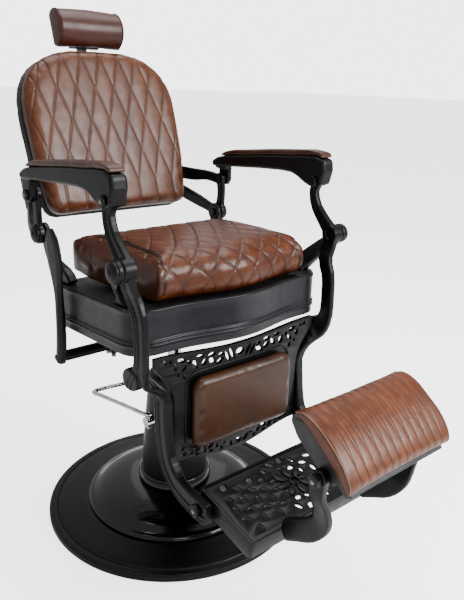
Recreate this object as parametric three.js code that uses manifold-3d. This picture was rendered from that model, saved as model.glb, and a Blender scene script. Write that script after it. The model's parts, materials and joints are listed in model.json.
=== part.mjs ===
// Hydraulic barber chair with a reclining back, a linked leg rest and a tilting foot pad.
// Millimetres, +Z up. The origin is on the floor, on the pump axis. The sitter faces -Y,
// and the sitter's right hand, with the recline paddle and the pump pedal, is on the -X side.
import * as THREE from "three";
import { mergeVertices } from "three/addons/utils/BufferGeometryUtils.js";
import Module from "manifold-3d";

const wasm = await Module();
wasm.setup();

// Driving dimensions
const BASE_RADIUS = 350;
const BASE_HEIGHT = 18;
const COVER_RADIUS = 240;
const SLEEVE_TOP = 400;
const SLEEVE_TOP_RADIUS = 70;
const SLEEVE_FOOT_RADIUS = 90;
const CYLINDER_RADIUS = 46;
const CYLINDER_BORE = 32;
const RAM_RADIUS = 18;
const RAM_TOP = 610;
const GAP = 0.4; // between pieces that touch
const PIVOT = { y: -28, z: 288 };
const PIVOT_RADIUS = 8;
const APRON_HALF = 278;
const APRON_FRONT = -262;
const APRON_BACK = 114;
const APRON_TOP = 672; // at y = 0
const APRON_BOTTOM = 572;
const APRON_BOW = 32;
const BOW_HALF = 190;
const APRON_WALL = 7;
const SEAT_SLOPE = -0.076; // rise per millimetre of y: the front edge is the higher one
const CUSHION_HALF = 219;
const CUSHION_STRIPS = 14;
const CUSHION_BACK = 168;
const CUSHION_HEIGHT = 112;
const BACK_HALF = 240;
const BACK_LOW = 800;
const BACK_LOW_Y = 232; // front face of the back cushion, at its lower edge
const BACK_RISE = 456;
const BACK_LEAN = Math.atan2(172, 521);
const BACK_THICK = 56;
const REAR_HUB = { y: 177, z: 779 };
const REAR_PIN = { y: 173, z: 877 };
const FRONT_HUB = { y: -268, z: 793 };
const FRONT_PIN = { y: -212, z: 921 };
const ARM_X = 292; // centre plane of the armrest and its links
const LEVER_THICK = 18;
const LEG_X = 275; // centre plane of the lever where it runs past the apron
const RAIL_X = 203; // centre plane of the leg rails
const RAIL_THICK = 26;
const RAIL_FOOT_X = 213; // the rails spread a little to take the footplate between them
const FOOT_HALF = 200;
const PANEL_Y = -268;
const FOOT_BOLT = { y: -408, z: 288 };
const PAD_BOLT = { y: -680, z: 482 };
const FOOT_ARM_X = 150;
const FOOT_ARM_LOW_X = 118;
const PAD_HALF = 153;
const SHELL_HALF = FOOT_ARM_X - 10.5;
const PIN_CLEARANCE = 2.6; // the linkage's open pivot runs free in this radial gap
const SIDES = [
  { tag: "r", sign: -1 },
  { tag: "l", sign: 1 },
];

// Finishes
const finish = (color, roughness, metalness) => ({ color, roughness, metalness });
const CAST = finish(0x1b1c1e, 0.55, 0.3);
const ENAMEL = finish(0x2b2c2f, 0.45, 0.3);
const GLOSS = finish(0x0b0b0c, 0.12, 0.1);
const CHROME = finish(0xd6d6d6, 0.08, 1);
const ZINC = finish(0x9a9a98, 0.4, 1);
const LEATHER = finish(0x7d4527, 0.42, 0);
const STEEL = finish(0x55575a, 0.45, 1);
const RUBBER = finish(0x101010, 0.9, 0);

// Solids
function solid(geometry) {
  const bare = geometry.index ? geometry.toNonIndexed() : geometry.clone();
  const positions = new THREE.BufferGeometry().setAttribute("position", bare.getAttribute("position"));
  const merged = mergeVertices(positions, 1e-3);
  const mesh = new wasm.Mesh({
    numProp: 3,
    vertProperties: merged.attributes.position.array,
    triVerts: new Uint32Array(merged.index.array),
  });
  return new wasm.Manifold(mesh);
}

function geometryOf(body) {
  const mesh = body.getMesh();
  const geometry = new THREE.BufferGeometry();
  geometry.setAttribute("position", new THREE.BufferAttribute(new Float32Array(mesh.vertProperties), 3));
  geometry.setIndex(new THREE.BufferAttribute(new Uint32Array(mesh.triVerts), 1));
  geometry.computeVertexNormals();
  return geometry;
}

function box(x0, x1, y0, y1, z0, z1) {
  const geometry = new THREE.BoxGeometry(x1 - x0, y1 - y0, z1 - z0);
  geometry.translate((x0 + x1) / 2, (y0 + y1) / 2, (z0 + z1) / 2);
  return solid(geometry);
}

// A profile of [radius, height] pairs turned about the Z axis. One that starts off the axis is a ring.
function turned(profile, segments = 40) {
  const points = profile.map(([radius, height]) => new THREE.Vector2(radius, height));
  if (points[0].x > 0) points.push(points[0].clone());
  if (THREE.ShapeUtils.area(points) < 0) points.reverse();
  const geometry = new THREE.LatheGeometry(points, segments);
  geometry.rotateX(Math.PI / 2);
  return solid(geometry);
}

// A round bar along X, from x0 to x1.
function barX(radius, x0, x1, y, z, segments = 16) {
  const geometry = new THREE.CylinderGeometry(radius, radius, Math.abs(x1 - x0), segments);
  geometry.rotateZ(Math.PI / 2);
  geometry.translate((x0 + x1) / 2, y, z);
  return solid(geometry);
}

function barZ(radius, z0, z1, x = 0, y = 0, segments = 32) {
  const geometry = new THREE.CylinderGeometry(radius, radius, z1 - z0, segments);
  geometry.rotateX(Math.PI / 2);
  geometry.translate(x, y, (z0 + z1) / 2);
  return solid(geometry);
}

const shapeOf = (outline) => new THREE.Shape(outline.map(([a, b]) => new THREE.Vector2(a, b)));

function slab(outline, depth, bevel) {
  return new THREE.ExtrudeGeometry(shapeOf(outline), {
    depth: depth - 2 * bevel,
    bevelEnabled: bevel > 0,
    bevelThickness: bevel,
    bevelSize: bevel,
    bevelOffset: -bevel,
    bevelSegments: 1,
  }).translate(0, 0, bevel);
}

// A side-view outline of [y, z] pairs, x0 to x1 thick.
function plateX(outline, x0, x1, bevel = 0) {
  const geometry = slab(outline, x1 - x0, bevel);
  geometry.applyMatrix4(new THREE.Matrix4().set(0, 0, 1, x0, 1, 0, 0, 0, 0, 1, 0, 0, 0, 0, 0, 1));
  return solid(geometry);
}

// A front-view outline of [x, z] pairs, y0 to y1 thick.
function plateY(outline, y0, y1, bevel = 0) {
  const geometry = slab(outline, y1 - y0, bevel);
  geometry.rotateX(Math.PI / 2);
  geometry.translate(0, y1, 0);
  return solid(geometry);
}

// A plan outline of [x, y] pairs, z0 to z1 thick.
function plateZ(outline, z0, z1, bevel = 0) {
  return solid(slab(outline, z1 - z0, bevel).translate(0, 0, z0));
}

const rounded = (points, steps, closed = false) =>
  new THREE.CatmullRomCurve3(
    points.map(([a, b]) => new THREE.Vector3(a, b, 0)),
    closed,
    "centripetal",
  )
    .getPoints(steps)
    .slice(0, closed ? -1 : undefined)
    .map((point) => [point.x, point.y]);

// A round rod along a smooth line through the points.
function rod(points, radius, steps, sides = 10) {
  const path = new THREE.CatmullRomCurve3(points.map((p) => new THREE.Vector3(...p)), false, "centripetal");
  const section = new THREE.Shape();
  for (let i = 0; i < sides; i += 1) {
    const angle = (2 * Math.PI * i) / sides;
    const corner = [radius * Math.cos(angle), radius * Math.sin(angle)];
    if (i) section.lineTo(...corner);
    else section.moveTo(...corner);
  }
  return solid(new THREE.ExtrudeGeometry(section, { steps, extrudePath: path, bevelEnabled: false }));
}

// A closed skin over rings of [x, y, z] points, with a flat fan over each end.
function skinned(rings) {
  const count = rings[0].length;
  const last = (rings.length - 1) * count;
  const faces = [];
  for (let i = 0; i < rings.length - 1; i += 1) {
    for (let j = 0; j < count; j += 1) {
      const a = i * count + j;
      const b = i * count + ((j + 1) % count);
      faces.push(a, b, a + count, b, b + count, a + count);
    }
  }
  for (let j = 1; j < count - 1; j += 1) {
    faces.push(0, j + 1, j);
    faces.push(last, last + j, last + j + 1);
  }
  const geometry = new THREE.BufferGeometry();
  geometry.setAttribute("position", new THREE.BufferAttribute(new Float32Array(rings.flat(2)), 3));
  geometry.setIndex(faces);
  const body = solid(geometry);
  if (body.volume() > 0) return body;
  for (let i = 0; i < faces.length; i += 3) [faces[i + 1], faces[i + 2]] = [faces[i + 2], faces[i + 1]];
  geometry.setIndex(faces);
  return solid(geometry);
}

// A cast strap that bends in the side view: each station is [x, y, z, width, thickness], with the
// width measured across its run in the side view and the thickness along X. Its edges are chamfered.
function strap(stations, steps, chamfer = 0.2) {
  const centre = new THREE.CatmullRomCurve3(stations.map(([x, y, z]) => new THREE.Vector3(x, y, z)),
    false, "centripetal");
  const size = new THREE.CatmullRomCurve3(stations.map((s) => new THREE.Vector3(s[3], s[4], 0)));
  const corners = [[-1, -1 + chamfer], [-1, 1 - chamfer], [-1 + chamfer, 1], [1 - chamfer, 1],
    [1, 1 - chamfer], [1, -1 + chamfer], [1 - chamfer, -1], [-1 + chamfer, -1]];
  const rings = [];
  for (let i = 0; i <= steps; i += 1) {
    const at = centre.getPoint(i / steps);
    const run = centre.getTangent(i / steps);
    const across = new THREE.Vector3(0, -run.z, run.y).normalize();
    const { x: width, y: thickness } = size.getPoint(i / steps);
    rings.push(corners.map(([a, b]) => [at.x + (a * thickness) / 2,
      at.y + (across.y * b * width) / 2, at.z + (across.z * b * width) / 2]));
  }
  return skinned(rings);
}

const joined = (first, ...rest) => rest.reduce((all, next) => all.add(next), first);
const cut = (first, ...rest) => rest.reduce((all, next) => all.subtract(next), first);

const chair = new THREE.Group();

function piece(name, body, look, parent = chair) {
  const mesh = new THREE.Mesh(geometryOf(body), new THREE.MeshStandardMaterial(look));
  mesh.name = name;
  parent.add(mesh);
  return mesh;
}

// A piece drawn on the sitter's left and its mirror image on the right.
function pair(name, draw, look) {
  for (const { tag, sign } of SIDES) {
    const body = draw();
    piece(`${name}_${tag}`, sign < 0 ? body.mirror([1, 0, 0]) : body, look);
  }
}

// Base
function makeBase() {
  piece("floor_pad", turned([[0, 0], [BASE_RADIUS - 34, 0], [BASE_RADIUS - 34, 4], [0, 4]], 40), RUBBER);
  const plate = [[0, 21], [COVER_RADIUS - 2, 21], [BASE_RADIUS - 28, 11], [BASE_RADIUS - 28, 0],
    [BASE_RADIUS, 0], [BASE_RADIUS, 12], [BASE_RADIUS - 5, BASE_HEIGHT], [BASE_RADIUS - 20, BASE_HEIGHT],
    [BASE_RADIUS - 23, 15], [BASE_RADIUS - 26, BASE_HEIGHT], [COVER_RADIUS + 6, 28], [0, 28]];
  piece("base_plate", turned(plate, 48), CAST);
  const cover = [[COVER_RADIUS - 4, 28 + GAP], [COVER_RADIUS, 28 + GAP], [COVER_RADIUS, 35], [228, 42],
    [205, 57], [165, 70], [SLEEVE_FOOT_RADIUS + 2, 78], [SLEEVE_FOOT_RADIUS + 2, 75], [165, 67],
    [205, 53.5], [225, 39]];
  piece("base_cover", turned(cover, 40), GLOSS);
  const bore = SLEEVE_FOOT_RADIUS + 0.5;
  const collar = [[bore, 78 + GAP], [98, 78 + GAP], [101, 86], [100, 95], [94, 108], [bore, 108]];
  piece("base_collar", turned(collar, 32), GLOSS);
  const sleeve = [[SLEEVE_FOOT_RADIUS - 4, 30], [SLEEVE_FOOT_RADIUS, 30], [SLEEVE_FOOT_RADIUS, 122],
    [SLEEVE_TOP_RADIUS + 4, 330], [SLEEVE_TOP_RADIUS, SLEEVE_TOP - 6], [SLEEVE_TOP_RADIUS - 6, SLEEVE_TOP],
    [CYLINDER_RADIUS + 1, SLEEVE_TOP], [CYLINDER_RADIUS + 1, SLEEVE_TOP - 6],
    [SLEEVE_TOP_RADIUS - 8, SLEEVE_TOP - 12], [SLEEVE_TOP_RADIUS, 330], [SLEEVE_FOOT_RADIUS - 4, 122]];
  const pivotHole = barX(PIVOT_RADIUS + GAP, -120, -60, PIVOT.y, PIVOT.z);
  piece("column_sleeve", cut(turned(sleeve, 32), pivotHole), CAST);
}

function makePump() {
  const cylinder = [[0, 28 + GAP], [70, 28 + GAP], [70, 42], [CYLINDER_RADIUS, 46], [CYLINDER_RADIUS, 404],
    [CYLINDER_BORE, 404], [CYLINDER_BORE, 60], [0, 60]];
  piece("pump_cylinder", turned(cylinder, 32), STEEL);
  const bearing = [[RAM_RADIUS + 0.2, 380], [CYLINDER_BORE - 0.2, 380], [CYLINDER_BORE - 0.2, 404 + GAP],
    [CYLINDER_RADIUS - 1, 404 + GAP], [CYLINDER_RADIUS - 3, 412], [RAM_RADIUS + 0.2, 412]];
  piece("cylinder_bearing", turned(bearing, 32), STEEL);
  const clamp = joined(barX(PIVOT_RADIUS, -113, -54, PIVOT.y, PIVOT.z),
    barX(14, -112, -90, PIVOT.y, PIVOT.z), box(-106, -96, PIVOT.y - 7, PIVOT.y + 7, PIVOT.z - 20, PIVOT.z));
  piece("pump_pivot", clamp, CHROME);
}

// The pedal is one bent rod: a short neck at the pivot, a long front leg, a tight tip and a back leg.
function makePedal() {
  const points = [[-101, PIVOT.y, PIVOT.z + 18], [-105, -40, 314], [-119, -62, 326], [-132, -60, 332],
    [-150, 10, 334], [-172, 96, 334], [-180, 118, 334], [-171, 131, 334], [-150, 132, 334],
    [-96, 126, 334], [-70, 122, 334]];
  piece("pump_pedal", rod(points, 5.5, 36, 8), CHROME);
}

// Lift
function makeLift() {
  const ram = [[0, 250], [RAM_RADIUS, 250], [RAM_RADIUS, RAM_TOP], [0, RAM_TOP]];
  piece("ram", turned(ram, 28), CHROME);
  const piston = [[0, 232], [CYLINDER_BORE - 0.3, 232], [CYLINDER_BORE - 0.3, 250 - GAP], [0, 250 - GAP]];
  piece("piston", turned(piston, 28), RUBBER);
  const bearing = [[RAM_RADIUS + GAP, 564], [34, 564], [34, 600], [RAM_RADIUS + GAP, 600]];
  piece("swivel_bearing", turned(bearing, 32), STEEL);
}

// How far the seat's front bows forward at x.
const bowAt = (x) => (Math.abs(x) < BOW_HALF ? APRON_BOW * Math.cos((Math.PI * x) / (2 * BOW_HALF)) ** 2 : 0);

// Plan of the apron: straight sides, canted front corners and a front that bows forward.
function apronPlan(inset) {
  const half = APRON_HALF - inset;
  const front = APRON_FRONT + inset;
  const points = [[half, APRON_BACK - inset], [half, -224 + inset / 2], [half - 32, front]];
  for (let i = 0; i <= 12; i += 1) {
    const x = BOW_HALF - (2 * BOW_HALF * i) / 12;
    points.push([x, front - bowAt(x)]);
  }
  points.push([32 - half, front], [-half, -224 + inset / 2], [-half, APRON_BACK - inset]);
  return points.reverse();
}

// Keeps what lies between two sloping planes, given as heights at y = 0.
function sloped(body, low, high) {
  const far = 400;
  const band = [[-far, low - SEAT_SLOPE * far], [far, low + SEAT_SLOPE * far],
    [far, high + SEAT_SLOPE * far], [-far, high - SEAT_SLOPE * far]];
  return body.intersect(plateX(band, -far, far));
}

// All that lies below the seat plate's upper face.
const underPlate = () => plateX([[-400, 400], [400, 400], [400, APRON_TOP + 5.5 + SEAT_SLOPE * 400],
  [-400, APRON_TOP + 5.5 - SEAT_SLOPE * 400]], -400, 400);

function makeSeatFrame() {
  const outer = sloped(plateZ(apronPlan(0), 500, 740), APRON_BOTTOM, APRON_TOP);
  const bead = sloped(plateZ(apronPlan(-3), 500, 740), APRON_BOTTOM + 24, APRON_BOTTOM + 31);
  piece("seat_apron", cut(joined(outer, bead), plateZ(apronPlan(APRON_WALL), 400, 900)), ENAMEL);
  const arms = joined(
    box(-APRON_HALF + 8, APRON_HALF - 8, -36, 36, 612, 632),
    box(-190, -150, -240, APRON_BACK - 9, 612, 632),
    box(150, 190, -240, APRON_BACK - 9, 612, 632),
    barZ(52, 556, 626, 0, 0, 40),
  );
  const socket = joined(barZ(34 + GAP, 550, 600 + GAP), barZ(RAM_RADIUS + GAP, 540, RAM_TOP + GAP));
  piece("seat_casting", cut(arms, socket), CAST);
  piece("seat_plate", sloped(plateZ(apronPlan(2), 500, 740), APRON_TOP + GAP, APRON_TOP + 5), CAST);
}

// The cushion's front follows the apron's bow, and its crown falls away towards the sides.
function makeSeatCushion() {
  const low = APRON_TOP + 6;
  const at = (y, rise) => [y, low + SEAT_SLOPE * y + rise];
  const side = rounded([at(-238, 0), at(-258, 22), at(-257, 66), at(-222, 100), at(-150, CUSHION_HEIGHT),
    at(-40, CUSHION_HEIGHT + 2), at(70, CUSHION_HEIGHT - 5), at(CUSHION_BACK - 28, 92),
    at(CUSHION_BACK, 64), at(CUSHION_BACK - 4, 30), at(CUSHION_BACK - 16, 0)], 26);
  const half = CUSHION_HALF;
  const rings = [];
  for (let i = 0; i <= CUSHION_STRIPS; i += 1) {
    const x = -half + (2 * half * i) / CUSHION_STRIPS;
    rings.push(side.map(([y, z]) => [x, y - bowAt(x) * THREE.MathUtils.clamp((-120 - y) / 118, 0, 1), z]));
  }
  const front = [[-half, 600], [half, 600], [half, 764], [half - 14, 785], [half - 60, 800], [0, 806],
    [60 - half, 800], [14 - half, 785], [-half, 764]];
  const rear = CUSHION_BACK;
  const plan = [[-half, -300], [half, -300], [half, rear - 34], [half - 10, rear - 9], [half - 36, rear],
    [36 - half, rear], [10 - half, rear - 9], [-half, rear - 34]];
  const body = skinned(rings).intersect(plateY(front, -310, 300)).intersect(plateZ(plan, 600, 900));
  piece("seat_cushion", cut(body, underPlate()), LEATHER);
}

// Brackets that carry the hubs stand on the seat plate's edge.
function makeSeatBrackets() {
  pair("front_bracket", () => {
    const foot = APRON_TOP + SEAT_SLOPE * -200;
    const arm = strap([[256, -192, foot - 2, 56, 28], [257, -196, foot + 16, 52, 28],
      [272, -206, 720, 42, 28], [296, -232, 752, 36, 24], [316, -258, 780, 38, 12],
      [319, FRONT_HUB.y, FRONT_HUB.z, 40, 12]], 12);
    const hub = barX(24, 313, 325, FRONT_HUB.y, FRONT_HUB.z, 24);
    const clear = joined(underPlate(), barX(10 + GAP, 300, 340, FRONT_HUB.y, FRONT_HUB.z),
      box(270, 312.6, -330, -238, 700, 850));
    return cut(joined(arm, hub), clear);
  }, CAST);
  pair("rear_bracket", () => {
    const foot = APRON_TOP + SEAT_SLOPE * 70;
    const arm = strap([[256, 70, foot - 2, 56, 24], [256, 84, foot + 14, 50, 24],
      [259, 128, 700, 40, 20], [260, 162, 722, 34, 16], [263, 172, 750, 32, 14],
      [266, REAR_HUB.y, REAR_HUB.z, 36, 12]], 12);
    const hub = barX(26, 260, 272, REAR_HUB.y, REAR_HUB.z, 24);
    const clear = joined(underPlate(), barX(10 + GAP, 240, 300, REAR_HUB.y, REAR_HUB.z));
    return cut(joined(arm, hub), clear);
  }, CAST);
}

// Back
const backPoint = (up, out) => [
  BACK_LOW_Y + up * Math.sin(BACK_LEAN) + out * Math.cos(BACK_LEAN),
  BACK_LOW + up * Math.cos(BACK_LEAN) - out * Math.sin(BACK_LEAN),
];

// The back's outline seen square on: straight foot with round corners, near-straight sides, arched head.
function backOutline(inset) {
  const half = BACK_HALF - inset;
  const points = [];
  const corner = 34;
  for (let i = 0; i <= 3; i += 1) {
    const angle = -Math.PI / 2 + (Math.PI / 2) * (i / 3);
    points.push([half - 16 - corner + corner * Math.cos(angle), inset + corner + corner * Math.sin(angle)]);
  }
  points.push([half - 4, BACK_RISE * 0.3], [half, BACK_RISE * 0.55]);
  const shoulder = BACK_RISE * 0.6;
  for (let i = 0; i <= 8; i += 1) {
    const angle = (Math.PI / 2) * (i / 8);
    points.push([half * Math.cos(angle) ** 0.66, shoulder + (BACK_RISE - shoulder - inset)
      * Math.sin(angle) ** 0.84]);
  }
  const mirrored = points.slice(0, -1).reverse().map(([x, z]) => [-x, z]);
  return points.concat(mirrored);
}

// Stands a front-view slab up on the back's leaning plane.
function leaned(outline, near, far, bevel) {
  return plateY(outline, near, far, bevel)
    .rotate([(-BACK_LEAN * 180) / Math.PI, 0, 0])
    .translate([0, BACK_LOW_Y, BACK_LOW]);
}

function makeBack() {
  piece("back_cushion", leaned(backOutline(5), 0, BACK_THICK, 14), LEATHER);
  piece("back_board", leaned(backOutline(7), BACK_THICK + GAP, BACK_THICK + 14, 4), CAST);
  pair("back_bracket", () => {
    const low = backPoint(36, BACK_THICK + 20);
    const high = backPoint(120, BACK_THICK + 20);
    const post = strap([[282, REAR_HUB.y, REAR_HUB.z, 42, 14], [284, 172, 812, 26, 14],
      [284, 170, 846, 26, 14], [282, REAR_PIN.y, REAR_PIN.z, 32, 14]], 10);
    const lower = strap([[282, REAR_HUB.y + 8, REAR_HUB.z - 4, 32, 14], [281, 216, 784, 30, 12],
      [264, 266, 804, 36, 14], [244, low[0], low[1] + 14, 38, 12]], 10);
    const upper = strap([[282, REAR_PIN.y + 8, REAR_PIN.z - 2, 28, 14], [276, 226, 880, 28, 14],
      [262, 276, 878, 36, 14], [244, high[0], high[1] - 10, 38, 12]], 10);
    const rib = plateX([[low[0] - 14, low[1]], [low[0] + 14, low[1]], [high[0] + 14, high[1]],
      [high[0] - 14, high[1]]], 236, 250, 1.5);
    const hub = joined(barX(26, 275, 289, REAR_HUB.y, REAR_HUB.z, 24),
      barX(17, 275, 289, REAR_PIN.y, REAR_PIN.z, 20));
    const clear = joined(barX(10 + GAP, 255, 300, REAR_HUB.y, REAR_HUB.z),
      barX(7 + GAP, 255, 300, REAR_PIN.y, REAR_PIN.z),
      leaned(backOutline(5 - GAP), -10, BACK_THICK + 14 + GAP, 0));
    return cut(joined(post, lower, upper, rib, hub), clear);
  }, CAST);
  pair("rear_hub_pin", () => joined(barX(10, 250, 296, REAR_HUB.y, REAR_HUB.z),
    barX(23, 291 + GAP, 300, REAR_HUB.y, REAR_HUB.z, 24),
    barX(15, 247, 258 - GAP, REAR_HUB.y, REAR_HUB.z, 6)), CAST);
}

// Headrest, built square in the back's plane and then leaned with it
const leanWithBack = (body) =>
  body.rotate([(-BACK_LEAN * 180) / Math.PI, 0, 0]).translate([0, BACK_LOW_Y, BACK_LOW]);

const HEAD = { half: 99, up: 512, out: 34, tall: 53, back: 66 };
const POST = { half: 14, near: 84, far: 94, low: 256, top: 508 };
const HEAD_HINGE = { up: 512, out: 89 };

function makeHeadrest() {
  const socket = cut(box(-30, 30, BACK_THICK + 14 + GAP, 102, 300, 392),
    box(-POST.half - GAP, POST.half + GAP, POST.near - GAP, POST.far + GAP, 200, 500),
    barX(5 + GAP, 0, 60, 89, 346));
  piece("headrest_socket", leanWithBack(socket), CAST);
  const knob = joined(barX(5, POST.half + 2 * GAP, 36, 89, 346), barX(11, 31, 48, 89, 346, 12));
  piece("headrest_knob", leanWithBack(knob), CAST);
  const post = joined(box(-POST.half, POST.half, POST.near, POST.far, POST.low, POST.top),
    barX(10, -POST.half, POST.half, HEAD_HINGE.out, HEAD_HINGE.up));
  const pinHole = barX(4 + 0.1, -60, 60, HEAD_HINGE.out, HEAD_HINGE.up);
  piece("headrest_post", leanWithBack(cut(post, pinHole)), STEEL);
  const cheeks = [-1, 1].map((sign) => joined(
    box(Math.min(15 * sign, 20 * sign), Math.max(15 * sign, 20 * sign), 78, 92, 502, 522),
    barX(10, 15 * sign, 20 * sign, HEAD_HINGE.out, HEAD_HINGE.up)));
  const bracket = cut(joined(box(-44, 44, HEAD.back + GAP, 78.5, 470, 552), ...cheeks), pinHole);
  piece("headrest_bracket", leanWithBack(bracket), CAST);
  piece("headrest_pin", leanWithBack(barX(4, -24, 24, HEAD_HINGE.out, HEAD_HINGE.up)), ZINC);
  const section = [];
  for (let i = 0; i <= 14; i += 1) {
    const angle = -Math.PI / 2 + (Math.PI * i) / 14;
    section.push([HEAD.out + 14 - 54 * Math.cos(angle), HEAD.up + HEAD.tall * Math.sin(angle)]);
  }
  section.push([HEAD.back, HEAD.up + HEAD.tall - 10], [HEAD.back, HEAD.up - HEAD.tall + 10]);
  piece("headrest_cushion", leanWithBack(plateX(section, -HEAD.half, HEAD.half, 5)), LEATHER);
}

// Recline paddle: a flat palm plate on a bar that drops to a cross shaft below the seat
const HANDLE_X = -297;
const SHAFT = { y: 62, z: 492 };

function makeHandle() {
  const paddle = strap([[HANDLE_X, SHAFT.y - 4, SHAFT.z - 12, 26, 22], [HANDLE_X, 48, 540, 25, 22],
    [HANDLE_X, 46, 600, 25, 20], [HANDLE_X, 48, 650, 30, 16], [HANDLE_X, 54, 700, 54, 13],
    [HANDLE_X, 62, 745, 76, 12], [HANDLE_X, 70, 785, 66, 12], [HANDLE_X, 76, 812, 26, 9]], 18, 0.5);
  piece("recline_handle", cut(paddle, barX(9 + GAP, -330, -270, SHAFT.y, SHAFT.z)), CAST);
  piece("handle_shaft", joined(barX(9, -309, -150, SHAFT.y, SHAFT.z), barX(14, -284, -158, SHAFT.y, SHAFT.z)),
    CAST);
  const hanger = cut(box(-166, -156 + 8, SHAFT.y - 22, SHAFT.y + 22, SHAFT.z - 20, 612 - GAP),
    barX(9 + GAP, -180, -140, SHAFT.y, SHAFT.z), barX(14 + GAP, -290, -157, SHAFT.y, SHAFT.z));
  piece("handle_hanger", hanger, CAST);
}

// Armrests
const armTop = (rise) => rounded([[-246, 948 + rise], [-238, 976 + rise], [-110, 973 + rise],
  [60, 956 + rise], [180, 940 + rise], [206, 927 + rise]], 16);

function makeArms() {
  pair("armrest", () => {
    const under = rounded([[204, 912], [150, 915], [60, 922], [-50, 930], [-134, 930], [-176, 912],
      [-206, 904], [-236, 914]], 16);
    const body = plateX(armTop(0).concat(under), ARM_X - 20, ARM_X + 20, 5);
    const rear = plateX([[150, 930], [196, 930], [194, 872], [186, 860], [160, 860], [152, 872]],
      280, 308, 2);
    const clear = joined(
      box(ARM_X - 11, ARM_X + 11, -231, -168, 880, 944),
      barX(8 + PIN_CLEARANCE, 240, 340, FRONT_PIN.y, FRONT_PIN.z),
      box(266, 292.4, 130, 220, 850, 906),
      barX(7 + GAP, 240, 340, REAR_PIN.y, REAR_PIN.z),
    );
    return cut(joined(body, rear), clear);
  }, CAST);
  pair("arm_pad", () => {
    const pad = rounded([[-240, 970], [-234, 990], [-110, 987], [60, 970], [152, 957], [172, 944]], 14);
    const body = plateX(pad.concat([[150, 926], [-226, 940]]), ARM_X - 21, ARM_X + 21, 3);
    return cut(body, plateX(armTop(GAP).concat([[206, 800], [-246, 800]]), 240, 340));
  }, LEATHER);
  pair("rear_arm_pin", () => joined(barX(7, 272, 311, REAR_PIN.y, REAR_PIN.z),
    barX(13, 308 + GAP, 314, REAR_PIN.y, REAR_PIN.z, 20)), ZINC);
}

// Leg rest
function makeLevers() {
  pair("front_lever", () => {
    const lever = strap([
      [ARM_X, FRONT_PIN.y, FRONT_PIN.z, 30, LEVER_THICK],
      [ARM_X, -201, 893, 24, LEVER_THICK],
      [ARM_X, -212, 856, 27, LEVER_THICK],
      [ARM_X, -240, 824, 32, LEVER_THICK],
      [ARM_X, FRONT_HUB.y, FRONT_HUB.z, 40, LEVER_THICK],
      [289, -264, 758, 40, LEVER_THICK],
      [278, -268, 728, 38, LEVER_THICK],
      [LEG_X, -284, 690, 36, 16],
      [LEG_X, -287, 640, 36, 16],
      [LEG_X, -286, 590, 38, 16],
      [LEG_X - 4, -274, 556, 48, 18],
      [LEG_X - 22, -262, 536, 54, 24],
      [RAIL_X + 22, -256, 514, 46, 26],
      [RAIL_X, -254, 482, 42, RAIL_THICK],
      [RAIL_X, -258, 430, 40, RAIL_THICK],
      [RAIL_X, -264, 380, 40, RAIL_THICK],
      [RAIL_X, -276, 336, 42, RAIL_THICK],
      [RAIL_X + 3, -310, 302, 44, 24],
      [RAIL_FOOT_X, -356, 294, 48, 20],
      [RAIL_FOOT_X, FOOT_BOLT.y, FOOT_BOLT.z, 50, 20],
      [RAIL_FOOT_X, -438, 288, 46, 20],
    ], 38, 0.24);
    const scroll = barX(26, LEG_X - 10, LEG_X + 10, -252, 548, 24);
    const hubs = joined(barX(15, ARM_X - 9, ARM_X + 9, FRONT_PIN.y, FRONT_PIN.z, 24),
      barX(24, ARM_X - 10, ARM_X + 20, FRONT_HUB.y, FRONT_HUB.z, 24));
    const clear = joined(barX(10 + GAP, 260, 320, FRONT_HUB.y, FRONT_HUB.z),
      barX(8 + GAP, 240, 320, FRONT_PIN.y, FRONT_PIN.z),
      barX(9 + GAP, 180, 240, FOOT_BOLT.y, FOOT_BOLT.z));
    return cut(joined(lever, scroll, hubs), clear);
  }, CAST);
  pair("front_arm_pin", () => joined(barX(8, ARM_X - 26, ARM_X + 26, FRONT_PIN.y, FRONT_PIN.z),
    barX(13, ARM_X + 21, ARM_X + 26, FRONT_PIN.y, FRONT_PIN.z, 20),
    barX(13, ARM_X - 26, ARM_X - 21, FRONT_PIN.y, FRONT_PIN.z, 20)), ZINC);
  pair("front_hub_pin", () => joined(barX(10, 276, 328, FRONT_HUB.y, FRONT_HUB.z),
    barX(23, 325 + GAP, 336, FRONT_HUB.y, FRONT_HUB.z, 24),
    barX(14, 274, 282 - GAP, FRONT_HUB.y, FRONT_HUB.z, 6)), CAST);
}

function arch(half, ends, middle, steps = 10) {
  const points = [];
  for (let i = 0; i <= steps; i += 1) {
    const x = -half + (2 * half * i) / steps;
    points.push([x, ends + (middle - ends) * Math.cos((Math.PI * x) / (2 * half)) ** 2]);
  }
  return points;
}

const PANEL_HALF = RAIL_X - RAIL_THICK / 2 - 3; // clear of the levers' fillets
const PANEL_TOP_HALF = 238;
const HOLE_PITCH = 32;

// The pierced bands above and below the calf pad.
function panelHoles() {
  const holes = [];
  for (const [base, bow] of [[556, -8], [334, -12]]) {
    for (let i = -4; i <= 4; i += 1) {
      const x = i * HOLE_PITCH;
      const z = base + bow * Math.cos((Math.PI * x) / 330);
      const tilt = i % 2 ? 4 : -4;
      holes.push(plateY([[x - 9, z - tilt], [x, z - 8], [x + 9, z + tilt], [x, z + 8]],
        PANEL_Y - 40, PANEL_Y + 40));
    }
  }
  return joined(...holes);
}

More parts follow.
